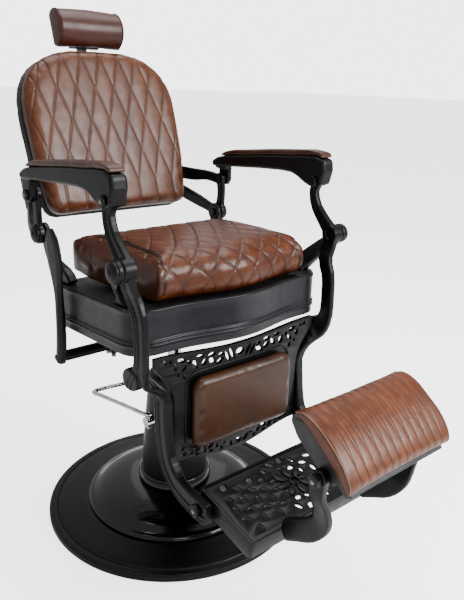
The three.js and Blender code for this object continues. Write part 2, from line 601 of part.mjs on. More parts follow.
// Wide between the levers at its top, it narrows in a sweep to fit between the rails.
function makeLegPanel() {
  const sweep = [[PANEL_HALF, 470], [PANEL_HALF + 8, 506], [PANEL_HALF + 30, 538], [PANEL_TOP_HALF, 566]];
  const bottom = arch(PANEL_HALF, 320, 294);
  const top = arch(PANEL_TOP_HALF, 588, 572).reverse();
  const mirrored = sweep.map(([x, z]) => [-x, z]).reverse();
  const outline = [...bottom, ...sweep, ...top, ...mirrored];
  piece("leg_panel", cut(plateY(outline, PANEL_Y - 5, PANEL_Y + 5), panelHoles()), CAST);
  const pad = [];
  const corner = 30;
  for (const [cx, cz, from] of [[122, 497, 0], [-122, 497, 1], [-124, 372, 2], [124, 372, 3]]) {
    for (let i = 0; i <= 3; i += 1) {
      const angle = (Math.PI / 2) * (from + i / 3);
      pad.push([cx + corner * Math.cos(angle), cz + corner * Math.sin(angle)]);
    }
  }
  piece("calf_pad", plateY(pad, PANEL_Y - 5 - GAP - 30, PANEL_Y - 5 - GAP, 9), LEATHER);
}

// Footplate: its own frame lies on the sloping line between the rails' forward ends.
const FOOT_TILT = Math.atan2(28, 138);

function footSheet(outline, low, high) {
  return plateZ(outline, low, high)
    .rotate([(FOOT_TILT * 180) / Math.PI, 0, 0])
    .translate([0, FOOT_BOLT.y, FOOT_BOLT.z + 24]);
}

const rectangle = (x0, x1, y0, y1) => [[x0, y0], [x1, y0], [x1, y1], [x0, y1]];

function makeFootplate() {
  const half = FOOT_HALF;
  let plate = footSheet(rectangle(3 - half, half - 3, -153, 20), -4, 4);
  for (let i = -5; i <= 5; i += 1) {
    for (let j = 0; j < 4; j += 1) {
      const x = i * 33;
      const y = -124 + j * 34;
      if (Math.abs(i) < 2 && (j === 1 || j === 2)) continue;
      plate = cut(plate, footSheet([[x - 11, y - 4], [x, y - 11], [x + 11, y + 4], [x, y + 11]], -20, 20));
    }
  }
  const walls = joined(
    footSheet(rectangle(-half, half, -156, -149), -44, 8),
    footSheet(rectangle(2 - half, half - 2, 16, 22), -24, 6),
    footSheet(rectangle(half - 6, half, -155, 21), -40, 7),
    footSheet(rectangle(-half, 6 - half, -155, 21), -40, 7),
  );
  const bolts = SIDES.map(({ sign }) => barX(9 + GAP, sign * 150, sign * 240, FOOT_BOLT.y, FOOT_BOLT.z));
  piece("footplate", cut(joined(plate, walls), ...bolts), CAST);
  pair("foot_bolt", () => joined(barX(9, FOOT_HALF - 14, 228, FOOT_BOLT.y, FOOT_BOLT.z),
    barX(15, RAIL_FOOT_X + 10 + GAP, 233, FOOT_BOLT.y, FOOT_BOLT.z, 6),
    barX(15, FOOT_HALF - 22, FOOT_HALF - 7, FOOT_BOLT.y, FOOT_BOLT.z, 6)), ZINC);
  pair("foot_arm", () => {
    const front = FOOT_BOLT.y - 156;
    const arm = strap([[FOOT_ARM_LOW_X, front - 2, 288, 46, 18], [FOOT_ARM_LOW_X, -596, 306, 48, 18],
      [FOOT_ARM_LOW_X, -636, 330, 50, 18], [FOOT_ARM_LOW_X + 2, -664, 364, 46, 18],
      [FOOT_ARM_LOW_X + 12, -672, 400, 38, 18], [FOOT_ARM_X - 1, -674, 440, 34, 18],
      [FOOT_ARM_X, PAD_BOLT.y, PAD_BOLT.z, 32, 18]], 18);
    const eye = barX(18, FOOT_ARM_X - 9, FOOT_ARM_X + 9, PAD_BOLT.y, PAD_BOLT.z, 20);
    const clear = joined(barX(8 + GAP, 100, 200, PAD_BOLT.y, PAD_BOLT.z),
      footSheet(rectangle(-220, 220, -156 - GAP, 40), -60, 60));
    return cut(joined(arm, eye), clear);
  }, CAST);
}

// Foot pad: a crowned cushion on a shallow shell, hung between the two foot arms.
const PAD_UNDERSIDE = [[-738, 474], [-712, 500], [-675, 532], [-640, 557], [-603, 576]];

function makeFootPad() {
  const crown = rounded([[-600, 580], [-622, 588], [-650, 582], [-682, 566], [-712, 543], [-737, 515],
    [-750, 488], [-746, 474]], 16);
  piece("foot_cushion", plateX(crown.concat(PAD_UNDERSIDE), -PAD_HALF, PAD_HALF, 3), LEATHER);
  const lower = [[-588, 566], [-586, 552], [-604, 526], [-640, 500], [-660, 488], [-668, 472], [-684, 466],
    [-700, 470], [-708, 478], [-730, 460], [-744, 468]];
  const hollow = [[-600, 556], [-640, 520], [-664, 506], [-694, 500], [-712, 487], [-728, 472],
    [-700, 400], [-560, 500]];
  const seatRoom = [...PAD_UNDERSIDE.map(([y, z]) => [y + 0.2, z - GAP]), [-580, 620], [-800, 620],
    [-800, 473.5]];
  const bolts = SIDES.map(({ sign }) => barX(8 + GAP, sign * 100, sign * 160, PAD_BOLT.y, PAD_BOLT.z));
  const block = plateX(lower.concat([[-712, 510], [-675, 542], [-640, 567]]), -SHELL_HALF, SHELL_HALF);
  const inside = joined(plateX(hollow, 8 - SHELL_HALF, SHELL_HALF - 8), plateX(seatRoom, -200, 200));
  piece("foot_shell", cut(block, inside, ...bolts), CAST);
  pair("pad_bolt", () => joined(barX(8, 122, 170, PAD_BOLT.y, PAD_BOLT.z),
    barX(14, FOOT_ARM_X + 9 + GAP, 172, PAD_BOLT.y, PAD_BOLT.z, 6),
    barX(14, 117, SHELL_HALF - 8 - GAP, PAD_BOLT.y, PAD_BOLT.z, 6)), ZINC);
}

makeBase();
makePump();
makePedal();
makeLift();
makeSeatFrame();
makeSeatCushion();
makeSeatBrackets();
makeBack();
makeHeadrest();
makeHandle();
makeArms();
makeLevers();
makeLegPanel();
makeFootplate();
makeFootPad();

export default chair;
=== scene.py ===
"""The visible pieces of a reclining barber chair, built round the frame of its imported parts."""

import json
import math

import bpy
import numpy as np
from mathutils import Matrix, Vector
from mathutils.bvhtree import BVHTree


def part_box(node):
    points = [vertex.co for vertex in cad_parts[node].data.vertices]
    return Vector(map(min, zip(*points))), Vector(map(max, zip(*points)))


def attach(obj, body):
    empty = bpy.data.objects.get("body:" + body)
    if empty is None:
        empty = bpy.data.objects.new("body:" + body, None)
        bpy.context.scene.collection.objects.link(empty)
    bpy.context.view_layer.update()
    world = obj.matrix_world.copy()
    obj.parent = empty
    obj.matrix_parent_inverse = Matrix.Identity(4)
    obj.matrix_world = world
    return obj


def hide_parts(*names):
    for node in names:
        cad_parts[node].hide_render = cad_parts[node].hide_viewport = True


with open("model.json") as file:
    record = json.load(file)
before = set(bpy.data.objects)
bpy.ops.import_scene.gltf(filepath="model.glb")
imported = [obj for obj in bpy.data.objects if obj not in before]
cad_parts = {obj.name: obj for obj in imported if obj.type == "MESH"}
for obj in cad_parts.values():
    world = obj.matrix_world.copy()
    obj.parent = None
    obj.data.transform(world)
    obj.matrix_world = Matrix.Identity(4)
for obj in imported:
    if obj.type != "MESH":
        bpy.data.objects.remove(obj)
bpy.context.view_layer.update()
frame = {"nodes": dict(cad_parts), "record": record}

bl_info = {
    "name": "Barber chair",
    "version": (1, 0, 0),
    "blender": (4, 5, 0),
    "location": "3D View > Sidebar > Barber chair",
    "description": "Builds the leather, castings and plated parts of a reclining barber chair",
    "category": "Object",
}

MM = 0.001
SIDES = {"r": -1, "l": 1}
BODY = {n: body for body, nodes in frame["record"]["behaviour"]["bodies"].items() for n in nodes}

# Places shared by several pieces, in millimetres
SEAT_SLOPE = -0.076
APRON_TOP = 672
APRON_BOTTOM = 572
BACK_FOOT = Vector((0, 232, 800))
BACK_LEAN = math.atan2(172, 521)
BACK_RISE = 456
BACK_THICK = 56
FOOT_BOLT = Vector((0, -408, 288))
FOOT_TILT = math.atan2(28, 138)
PANEL_Y = -268


# ---------------------------------------------------------------- mesh helpers

def only(piece):
    """Selects this piece alone and makes it active."""
    if bpy.context.mode != "OBJECT":
        bpy.ops.object.mode_set(mode="OBJECT")
    bpy.ops.object.select_all(action="DESELECT")
    piece.select_set(True)
    bpy.context.view_layer.objects.active = piece
    return piece


def modified(piece, kind, **settings):
    """Adds a modifier with these settings and applies it."""
    only(piece)
    made = piece.modifiers.new(kind.lower(), kind)
    for key, value in settings.items():
        setattr(made, key, value)
    bpy.ops.object.modifier_apply(modifier=made.name)
    return piece


def new_piece(name, data):
    piece = bpy.data.objects.new(name, data)
    bpy.context.scene.collection.objects.link(piece)
    return piece


def cleaned(piece, outward=True):
    """Merges doubles and turns the faces outward."""
    only(piece)
    bpy.ops.object.mode_set(mode="EDIT")
    bpy.ops.mesh.select_all(action="SELECT")
    bpy.ops.mesh.remove_doubles(threshold=1e-5)
    if outward:
        bpy.ops.mesh.normals_make_consistent(inside=False)
    bpy.ops.object.mode_set(mode="OBJECT")
    return piece


def placed(piece, matrix):
    """Moves the piece's mesh, so that its object stays at the origin."""
    piece.data.transform(matrix)
    piece.data.update()
    return piece


def copy_of(node, name):
    """A merged copy of a frame node's mesh."""
    data = frame["nodes"][node].data.copy()
    data.materials.clear()
    return cleaned(new_piece(name, data), outward=False)


def finished(piece, nodes, material, angle=40):
    """Gives a piece its material and the body of the first of the nodes it stands for."""
    nodes = [nodes] if isinstance(nodes, str) else nodes
    only(piece)
    bpy.ops.object.shade_smooth_by_angle(angle=math.radians(angle))
    piece.data.materials.clear()
    piece.data.materials.append(material)
    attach(piece, BODY[nodes[0]])
    return piece


def standing_for(piece, nodes, material, angle=40):
    nodes = [nodes] if isinstance(nodes, str) else nodes
    finished(piece, nodes, material, angle)
    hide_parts(*nodes)
    return piece


def softened(node, voxel, rounds, name=None):
    """A casting: the frame's solid with its edges and facets worn round."""
    piece = copy_of(node, name or node + "_casting")
    modified(piece, "REMESH", mode="VOXEL", voxel_size=voxel * MM)
    modified(piece, "SMOOTH", factor=0.5, iterations=rounds)
    return piece


def chamfered(node, width):
    """A machined part: the frame's solid with its sharp edges broken."""
    piece = copy_of(node, node + "_turned")
    only(piece)
    bpy.ops.object.mode_set(mode="EDIT")
    bpy.ops.mesh.select_all(action="SELECT")
    bpy.ops.mesh.dissolve_limited(angle_limit=math.radians(1))
    bpy.ops.object.mode_set(mode="OBJECT")
    return modified(piece, "BEVEL", width=width * MM, segments=3, limit_method="ANGLE",
                    angle_limit=math.radians(40), harden_normals=False)


def smooth_line(points, steps):
    """Points on a Catmull-Rom line through the given ones, steps for each stretch."""
    points = [np.array(p, float) for p in points]
    ends = [2 * points[0] - points[1], *points, 2 * points[-1] - points[-2]]
    line = []
    for i in range(1, len(ends) - 2):
        a, b, c, d = ends[i - 1:i + 3]
        for step in range(steps):
            t = step / steps
            line.append(0.5 * (2 * b + (c - a) * t + (2 * a - 5 * b + 4 * c - d) * t**2
                               + (3 * b - a - 3 * c + d) * t**3))
    return [*line, points[-1]]


def turned(name, profile, steps=128):
    """Spins a profile of [radius, height] pairs about Z. One that starts off the axis is a closed ring."""
    data = bpy.data.meshes.new(name)
    count = len(profile)
    edges = [(i, i + 1) for i in range(count - 1)]
    if profile[0][0] > 0:
        edges.append((count - 1, 0))
    data.from_pydata([(r * MM, 0, z * MM) for r, z in profile], edges, [])
    piece = only(new_piece(name, data))
    bpy.ops.object.mode_set(mode="EDIT")
    bpy.ops.mesh.select_all(action="SELECT")
    bpy.ops.mesh.spin(steps=steps, angle=2 * math.pi, center=(0, 0, 0), axis=(0, 0, 1))
    bpy.ops.object.mode_set(mode="OBJECT")
    return cleaned(piece)


def tube(name, points, radius, closed=False, sides=4):
    """A round rod along a line of points, in millimetres."""
    curve = bpy.data.curves.new(name, "CURVE")
    curve.dimensions = "3D"
    curve.bevel_depth = radius * MM
    curve.bevel_resolution = sides
    curve.use_fill_caps = True
    spline = curve.splines.new("POLY")
    spline.points.add(len(points) - 1)
    for point, co in zip(spline.points, points):
        point.co = (co[0] * MM, co[1] * MM, co[2] * MM, 1)
    spline.use_cyclic_u = closed
    only(new_piece(name, curve))
    bpy.ops.object.convert(target="MESH")
    return cleaned(bpy.context.view_layer.objects.active)


def plate(name, outline, holes, thickness, bevel, matrix):
    """A flat plate with holes, drawn as a filled curve and stood up by a matrix."""
    curve = bpy.data.curves.new(name, "CURVE")
    curve.dimensions = "2D"
    curve.fill_mode = "BOTH"
    curve.extrude = thickness / 2 * MM
    for ring in [outline, *holes]:
        spline = curve.splines.new("POLY")
        spline.points.add(len(ring) - 1)
        for point, (x, y) in zip(spline.points, ring):
            point.co = (x * MM, y * MM, 0, 1)
        spline.use_cyclic_u = True
    only(new_piece(name, curve))
    bpy.ops.object.convert(target="MESH")
    piece = cleaned(bpy.context.view_layer.objects.active)
    modified(piece, "BEVEL", width=bevel * MM, segments=2, limit_method="ANGLE",
             angle_limit=math.radians(60), use_clamp_overlap=False)
    return placed(piece, matrix)


def coordinates(piece):
    co = np.zeros(len(piece.data.vertices) * 3)
    piece.data.vertices.foreach_get("co", co)
    return co.reshape(-1, 3)


def normals(piece):
    found = np.zeros(len(piece.data.vertices) * 3)
    piece.data.vertex_normals.foreach_get("vector", found)
    return found.reshape(-1, 3)


def reshape(piece, co):
    piece.data.vertices.foreach_set("co", co.ravel())
    piece.data.update()
    return piece


def joined(name, *pieces):
    only(pieces[0])
    for piece in pieces[1:]:
        piece.select_set(True)
    bpy.ops.object.join()
    pieces[0].name = name
    return pieces[0]


def box_mm(node):
    """The two corners of a frame node's box, in millimetres."""
    return [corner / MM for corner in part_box(node)]


def soft_step(value, low, high):
    t = np.clip((value - low) / (high - low), 0, 1)
    return t * t * (3 - 2 * t)


# ---------------------------------------------------------------- materials

def linear(hex_color):
    """An sRGB hex colour as linear RGBA."""
    parts = [int(hex_color[i:i + 2], 16) / 255 for i in (0, 2, 4)]
    return (*[p / 12.92 if p <= 0.04045 else ((p + 0.055) / 1.055) ** 2.4 for p in parts], 1)


def add(tree, kind, links=None, **settings):
    """Adds a shader node with its settings, and links or sets its inputs."""
    made = tree.nodes.new(kind)
    for key, value in settings.items():
        setattr(made, key, value)
    for key, value in (links or {}).items():
        if isinstance(value, bpy.types.NodeSocket):
            tree.links.new(value, made.inputs[key])
        else:
            made.inputs[key].default_value = value
    return made


def blank(name, **constants):
    """A material with its shader, its constant sockets set, and object coordinates."""
    material = bpy.data.materials.new(name)
    material.use_nodes = True
    tree = material.node_tree
    shader = tree.nodes["Principled BSDF"]
    for key, value in constants.items():
        shader.inputs[key.replace("_", " ")].default_value = value
    place = add(tree, "ShaderNodeTexCoord").outputs["Object"]
    return material, tree, shader, place


def noise(tree, place, size_mm, detail, **more):
    """A noise with spots about this size."""
    links = {"Vector": place, "Scale": 1000 / size_mm, "Detail": detail, **more}
    return add(tree, "ShaderNodeTexNoise", links).outputs["Fac"]


def ranged(tree, value, low, high, start=0.0, end=1.0):
    """The value mapped from one span to another and held at its ends."""
    return add(tree, "ShaderNodeMapRange", {"Value": value, "From Min": low, "From Max": high,
                                            "To Min": start, "To Max": end}).outputs["Result"]


def mottled(tree, place, size_mm, low, high, detail=3):
    """A soft noise between two values."""
    return ranged(tree, noise(tree, place, size_mm, detail), 0.3, 0.7, low, high)


def bumped(tree, shader, layers):
    """Stacks bumps: each layer is (height socket, distance in millimetres, strength)."""
    normal = None
    for height, distance, strength in layers:
        links = {"Height": height, "Distance": distance * MM, "Strength": strength}
        if normal:
            links["Normal"] = normal
        normal = add(tree, "ShaderNodeBump", links).outputs["Normal"]
    tree.links.new(normal, shader.inputs["Normal"])


def mixed(tree, factor, first, second, blend="MIX"):
    mix = add(tree, "ShaderNodeMix", data_type="RGBA", blend_type=blend)
    for key, value in ((0, factor), (6, first), (7, second)):
        if isinstance(value, bpy.types.NodeSocket):
            tree.links.new(value, mix.inputs[key])
        else:
            mix.inputs[key].default_value = value
    return mix.outputs[2]


def maths(tree, operation, first, second=0.0):
    return add(tree, "ShaderNodeMath", {0: first, 1: second}, operation=operation).outputs[0]


def painted_edge_highlight(tree, place, base, edge, amount):
    """Lightens the raised edges in noisy patches: a painted highlight along the edges."""
    point = add(tree, "ShaderNodeNewGeometry").outputs["Pointiness"]
    rim = ranged(tree, point, 0.52, 0.62)
    # Painted highlight: the edge mask, broken up by noise, sets how far each edge is lightened.
    highlight_share = maths(tree, "MULTIPLY", rim, mottled(tree, place, 30, 0.2, amount))
    return mixed(tree, highlight_share, base, edge)


def cast_enamel(name, color, light, roughness, grain_mm=0.9):
    """Stoved satin enamel on sand-cast iron: the casting's grain shows as a fine orange peel."""
    material, tree, shader, place = blank(name, Metallic=0.0, IOR=1.5, Specular_IOR_Level=0.22)
    cloud = mottled(tree, place, 60, 0, 1)
    base = mixed(tree, cloud, linear(color), linear(light))
    # Painted highlight: 2A2B2D lightens the raised edges of the enamel.
    tree.links.new(painted_edge_highlight(tree, place, base, linear("2A2B2D"), 0.5), shader.inputs["Base Color"])
    tree.links.new(mottled(tree, place, 25, roughness - 0.05, roughness + 0.06), shader.inputs["Roughness"])
    grain = noise(tree, place, grain_mm, 2)
    wave = noise(tree, place, 14, 1)
    bumped(tree, shader, [(wave, 0.35, 0.25), (grain, 0.06, 0.5)])
    return material


def gloss_enamel(name):
    """Baked gloss enamel on spun steel: deep black with sharp reflections and a faint ripple."""
    material, tree, shader, place = blank(name, Metallic=0.0, IOR=1.52, Coat_Weight=0.25,
                                          Coat_Roughness=0.03, Specular_IOR_Level=0.3)
    dust = mottled(tree, place, 4, 0, 0.12, detail=6)
    tree.links.new(mixed(tree, dust, linear("020203"), linear("0C0C0D")), shader.inputs["Base Color"])
    tree.links.new(mottled(tree, place, 40, 0.1, 0.2), shader.inputs["Roughness"])
    bumped(tree, shader, [(noise(tree, place, 45, 1), 0.4, 0.15)])
    return material


def plated(name, color, worn, low, high, streak_mm):
    """Plated steel: bright, with fine polishing lines that blur the reflections a little."""
    material, tree, shader, place = blank(name, Metallic=1.0)
    tree.links.new(mixed(tree, mottled(tree, place, 18, 0, 1), linear(color), linear(worn)),
                   shader.inputs["Base Color"])
    tree.links.new(mottled(tree, place, 9, low, high), shader.inputs["Roughness"])
    stretched = add(tree, "ShaderNodeMapping", {"Vector": place, "Scale": (1, 1, 0.08)}).outputs[0]
    bumped(tree, shader, [(noise(tree, stretched, streak_mm, 2), 0.02, 0.25)])
    return material


def moulded(name, color, roughness, grain_mm):
    """Moulded rubber or plastic: matt, with the tool's fine spark texture."""
    material, tree, shader, place = blank(name, Metallic=0.0, IOR=1.47)
    tree.links.new(mixed(tree, mottled(tree, place, 50, 0, 1), linear(color), linear("2C2C2D")),
                   shader.inputs["Base Color"])
    tree.links.new(mottled(tree, place, 20, roughness - 0.05, roughness + 0.07), shader.inputs["Roughness"])
    grain = add(tree, "ShaderNodeTexVoronoi", {"Vector": place, "Scale": 1000 / grain_mm})
    bumped(tree, shader, [(grain.outputs["Distance"], 0.08, 0.4)])
    return material


STITCH_MM = 5.0
STITCH_SHARE = 0.66  # thread above the leather, of each stitch's length


def stitch_line(tree, across, along, mask, pitch_mm, run_mm):
    """Height and colour masks of a row of stitches on one family of seams; the crease mask also carries
    painted shade.
    """
    near = maths(tree, "ABSOLUTE", maths(tree, "SUBTRACT", maths(
        tree, "FRACT", maths(tree, "ADD", across, 0.5)), 0.5))
    distance = maths(tree, "MULTIPLY", near, pitch_mm)
    thread = ranged(tree, distance, 0.45, 0.95, 1.0, 0.0)
    dash = maths(tree, "LESS_THAN", maths(
        tree, "FRACT", maths(tree, "MULTIPLY", along, run_mm / STITCH_MM)), STITCH_SHARE)
    # The crease mask is the seam's groove: it sinks the bump and is darkened as painted shade.
    crease = ranged(tree, distance, 0.3, 1.6, 1.0, 0.0)
    masked = maths(tree, "MULTIPLY", maths(tree, "MULTIPLY", thread, dash), mask)
    return masked, maths(tree, "MULTIPLY", crease, mask)


def leather(name, dark, mid, light, pitch_mm=60.0, run_mm=60.0, roughness=0.36):
    """Aniline-dyed cowhide with a waxed finish: cloudy colour, pale pulls at random and a painted highlight
    on the crowns, painted shade in the seam creases, fine pores.
    """
    material, tree, shader, place = blank(name, Metallic=0.0, IOR=1.48, Coat_Weight=0.1,
                                          Coat_Roughness=0.2, Specular_IOR_Level=0.3)
    quilt = add(tree, "ShaderNodeAttribute", attribute_name="quilt").outputs["Vector"]
    masks = add(tree, "ShaderNodeAttribute", attribute_name="quilt_mask").outputs["Vector"]
    a, b, _ = add(tree, "ShaderNodeSeparateXYZ", {0: quilt}).outputs[:3]
    mask_a, mask_b, crown = add(tree, "ShaderNodeSeparateXYZ", {0: masks}).outputs[:3]
    cloud = mottled(tree, place, 85, 0, 1, detail=5)
    base = mixed(tree, cloud, linear(dark), linear(mid))
    # Pale patches: random pulls everywhere, plus a painted highlight weighted onto the raised crowns.
    pull_and_highlight = maths(tree, "MULTIPLY", mottled(tree, place, 22, 0.1, 0.9, detail=4),
                 maths(tree, "ADD", maths(tree, "MULTIPLY", crown, 0.55), 0.18))
    base = mixed(tree, pull_and_highlight, base, linear(light))
    fleck = ranged(tree, noise(tree, place, 2.2, 4), 0.52, 0.75, 0, 0.16)
    base = mixed(tree, fleck, base, linear(dark))
    thread_a, crease_a = stitch_line(tree, a, b, mask_a, pitch_mm, run_mm)
    thread_b, crease_b = stitch_line(tree, b, a, mask_b, pitch_mm, run_mm)
    crease = maths(tree, "MAXIMUM", crease_a, crease_b)
    thread = maths(tree, "MAXIMUM", thread_a, thread_b)
    # Painted shade: the seam creases are darkened towards 160804.
    base = mixed(tree, maths(tree, "MULTIPLY", crease, 0.2), base, linear("160804"))
    base = mixed(tree, maths(tree, "MULTIPLY", thread, 0.5), base, linear("5A3A28"))
    tree.links.new(base, shader.inputs["Base Color"])
    tree.links.new(mottled(tree, place, 30, roughness - 0.08, roughness + 0.1, detail=5),
                   shader.inputs["Roughness"])
    pores = add(tree, "ShaderNodeTexVoronoi", {"Vector": place, "Scale": 1000 / 1.6,
                                               "Randomness": 1.0}, feature="DISTANCE_TO_EDGE")
    cells = ranged(tree, pores.outputs["Distance"], 0.0, 0.12)
    wrinkle = noise(tree, place, 16, 5, Roughness=0.6, Distortion=0.6)
    bumped(tree, shader, [(wrinkle, 0.7, 0.3), (cells, 0.09, 0.35),
                          (maths(tree, "SUBTRACT", 1.0, crease), 0.6, 0.5), (thread, 0.5, 0.8)])
    return material


MATERIALS = {}


def make_materials(look):
    MATERIALS.update(
        cast=cast_enamel("cast_iron_satin_enamel", "020202", "050506", 0.36),
        apron=cast_enamel("pressed_steel_satin_enamel", "16171A", "1F2024", 0.3, grain_mm=0.6),
        gloss=gloss_enamel("spun_steel_gloss_enamel"),
        chrome=plated("chrome_plated_steel", "E2E2E2", "B9B9B6", 0.06, 0.14, 1.5),
        zinc=plated("zinc_plated_steel", "7C7C77", "8E8E88", 0.25, 0.4, 0.8),
        steel=plated("turned_steel", "6E7073", "8A8C8E", 0.3, 0.45, 0.6),
        shell=moulded("moulded_shell_plastic", "141415", 0.5, 1.1),
        rubber=moulded("moulded_rubber", "0D0D0D", 0.8, 1.4),
        seat=leather("seat_leather", "2C1105", "3F1A09", "693414", *diamond(look.seat_diamond)),
        back=leather("back_leather", "2E1306", "431D0A", "6E3D1E", *diamond(look.back_diamond)),
        head=leather("headrest_leather", "2E120B", "3F1B11", "5C3122"),
        calf=leather("calf_leather", "241103", "381B06", "56300F"),
        foot=leather("foot_pad_leather", "421D0C", "5A2B15", "7E4A2E", *diamond(look.foot_diamond)),
        arm=leather("arm_pad_leather", "291309", "3C2012", "6A4631"),
        edging=leather("edging_leather", "1F100A", "2E1810", "45281B"),
        cord=leather("pale_edging_leather", "5C4A3D", "7C6859", "968270"),
    )


def diamond(size):
    """The pitch across the seams and the length of a seam between crossings, for a diamond's size in mm."""
    wide, long = size[0] / MM, size[1] / MM
    return 1 / math.hypot(1 / wide, 1 / long), math.hypot(wide, long) / 2


# ---------------------------------------------------------------- cushions

def flat_against(piece, point, normal):
    """Presses whatever lies beyond a plane back onto it."""
    co = coordinates(piece)
    normal = np.array(Vector(normal).normalized())
    beyond = np.clip((co - np.array(point) * MM) @ normal, 0, None)
    return reshape(piece, co - beyond[:, None] * normal)


CLOTH_PRESSURE = 4
CLOTH_FRAMES = 20


def swollen(node, name, voxel, shrink, cap, rests):
    """A cushion: the frame's solid, a little smaller, filled by a cloth simulation under pressure."""
    piece = copy_of(node, name)
    modified(piece, "REMESH", mode="VOXEL", voxel_size=voxel * MM)
    modified(piece, "SMOOTH", factor=0.5, iterations=4)
    reshape(piece, coordinates(piece) - normals(piece) * shrink * MM)
    rest = coordinates(piece)
    cloth = only(piece).modifiers.new("filling", "CLOTH")
    cloth.settings.quality = 4
    cloth.settings.mass = 0.3
    cloth.settings.use_pressure = True
    cloth.settings.uniform_pressure_force = CLOTH_PRESSURE
    cloth.settings.effector_weights.gravity = 0
    scene = bpy.context.scene
    for step in range(1, CLOTH_FRAMES + 1):
        scene.frame_set(step)
    found = piece.evaluated_get(bpy.context.evaluated_depsgraph_get())
    moved = np.zeros(len(rest) * 3)
    found.data.vertices.foreach_get("co", moved)
    shift = moved.reshape(-1, 3) - rest
    piece.modifiers.remove(cloth)
    scene.frame_set(1)
    size = np.linalg.norm(shift, axis=1, keepdims=True)
    reshape(piece, rest + shift * np.minimum(1, cap * MM / np.maximum(size, 1e-9)))
    modified(piece, "SMOOTH", factor=0.5, iterations=3)
    modified(piece, "SUBSURF", levels=1, render_levels=1)
    for point, normal in rests:
        flat_against(piece, point, normal)
    return piece


def quilted(piece, a, b, mask_a, mask_b, pitch_mm, puff, groove):
    """Sinks the seams, raises the leather between them, and keeps the pattern for the leather's shader."""
    def near(value):
        return np.abs(value - np.round(value)) * pitch_mm

    def arch(value):
        return np.abs(np.sin(np.pi * value))
    both = np.minimum(mask_a, mask_b)
    crown = (arch(a) * arch(b)) ** 0.5 * both + arch(a) ** 0.5 * np.clip(mask_a - mask_b, 0, 1)
    sunk = np.maximum(mask_a * np.exp(-(near(a) / 1.9) ** 2), mask_b * np.exp(-(near(b) / 1.9) ** 2))
    lift = (puff * crown - groove * sunk) * MM
    reshape(piece, coordinates(piece) + normals(piece) * lift[:, None])
    store(piece, "quilt", np.stack([a, b, a * 0], 1))
    store(piece, "quilt_mask", np.stack([mask_a, mask_b, crown], 1))
    return piece


def store(piece, name, values):
    kept = piece.data.attributes.new(name, "FLOAT_VECTOR", "POINT")
    kept.data.foreach_set("vector", values.astype(np.float32).ravel())


def upholstered(piece, node, material):
    standing_for(piece, node, material, angle=80)
    return piece


def surface_line(piece, guides, offset=0.0):
    """Guide points dropped onto a cushion's surface, then lifted by offset, all in millimetres."""
    tree = BVHTree.FromObject(piece, bpy.context.evaluated_depsgraph_get())
    line = []
    for guide in guides:
        spot, normal, _, _ = tree.find_nearest(Vector(guide) * MM)
        line.append((spot + normal * offset * MM) / MM)
    smooth = [line[0], *[(p + 2 * q + r) / 4 for p, q, r in zip(line, line[1:], line[2:])], line[-1]]
    return smooth


def edging(name, cushion, node, guides, radius, material, closed=False):
    """Piping sewn into a cushion's edge."""
    piece = tube(name, surface_line(cushion, guides, radius * 0.4), radius, closed)
    return finished(piece, node, material, angle=60)


def in_back(up, out, x=0.0):
    """A point of the back's leaning plane, in millimetres."""
    return Vector((x, BACK_FOOT.y + up * math.sin(BACK_LEAN) + out * math.cos(BACK_LEAN),
                   BACK_FOOT.z + up * math.cos(BACK_LEAN) - out * math.sin(BACK_LEAN)))


BACK_UP = Vector((0, math.sin(BACK_LEAN), math.cos(BACK_LEAN)))
BACK_OUT = Vector((0, math.cos(BACK_LEAN), -math.sin(BACK_LEAN)))


def build_seat(look):
    low, high = box_mm("seat_cushion")
    floor = (0, 0, APRON_TOP + 6.4)
    piece = swollen("seat_cushion", "seat_upholstery", 5, 2, 5, [(floor, (0, -SEAT_SLOPE, -1))])
    co, up = coordinates(piece) / MM, normals(piece)
    x, y, z = co.T
    wide, long = look.seat_diamond[0] / MM, look.seat_diamond[1] / MM
    crest = high.z + SEAT_SLOPE * (y + 40)
    run = (y - low.y) - np.clip(crest - z, 0, None)
    a, b = x / wide + run / long, x / wide - run / long
    faces_out = np.maximum(soft_step(up[:, 2], 0.25, 0.6), soft_step(-up[:, 1], 0.3, 0.6))
    inside = 1 - soft_step(np.abs(x), high.x - 22, high.x - 10)
    above = soft_step(z - (floor[2] + SEAT_SLOPE * y), 5, 14)
    rear = 1 - soft_step(y, high.y - 40, high.y - 24)
    mask = faces_out * inside * above * rear
    quilted(piece, a, b, mask, mask, diamond(look.seat_diamond)[0], look.seat_puff / MM, 1.4)
    upholstered(piece, "seat_cushion", MATERIALS["seat"])
    for tag, sign in SIDES.items():
        for row, inset in enumerate((15, 22)):
            edge = sign * (high.x - inset)
            guides = [(edge, low.y - 12, 690 + i * 6) for i in range(13)]
            guides += [(edge, low.y - 6 + i * 10, 830) for i in range(38)]
            guides = [g for g in guides if g[2] < 760 or g[1] > low.y + 10]
            edging(f"seat_piping_{tag}{row}", piece, "seat_cushion", guides, 1.7, MATERIALS["edging"])
    return piece


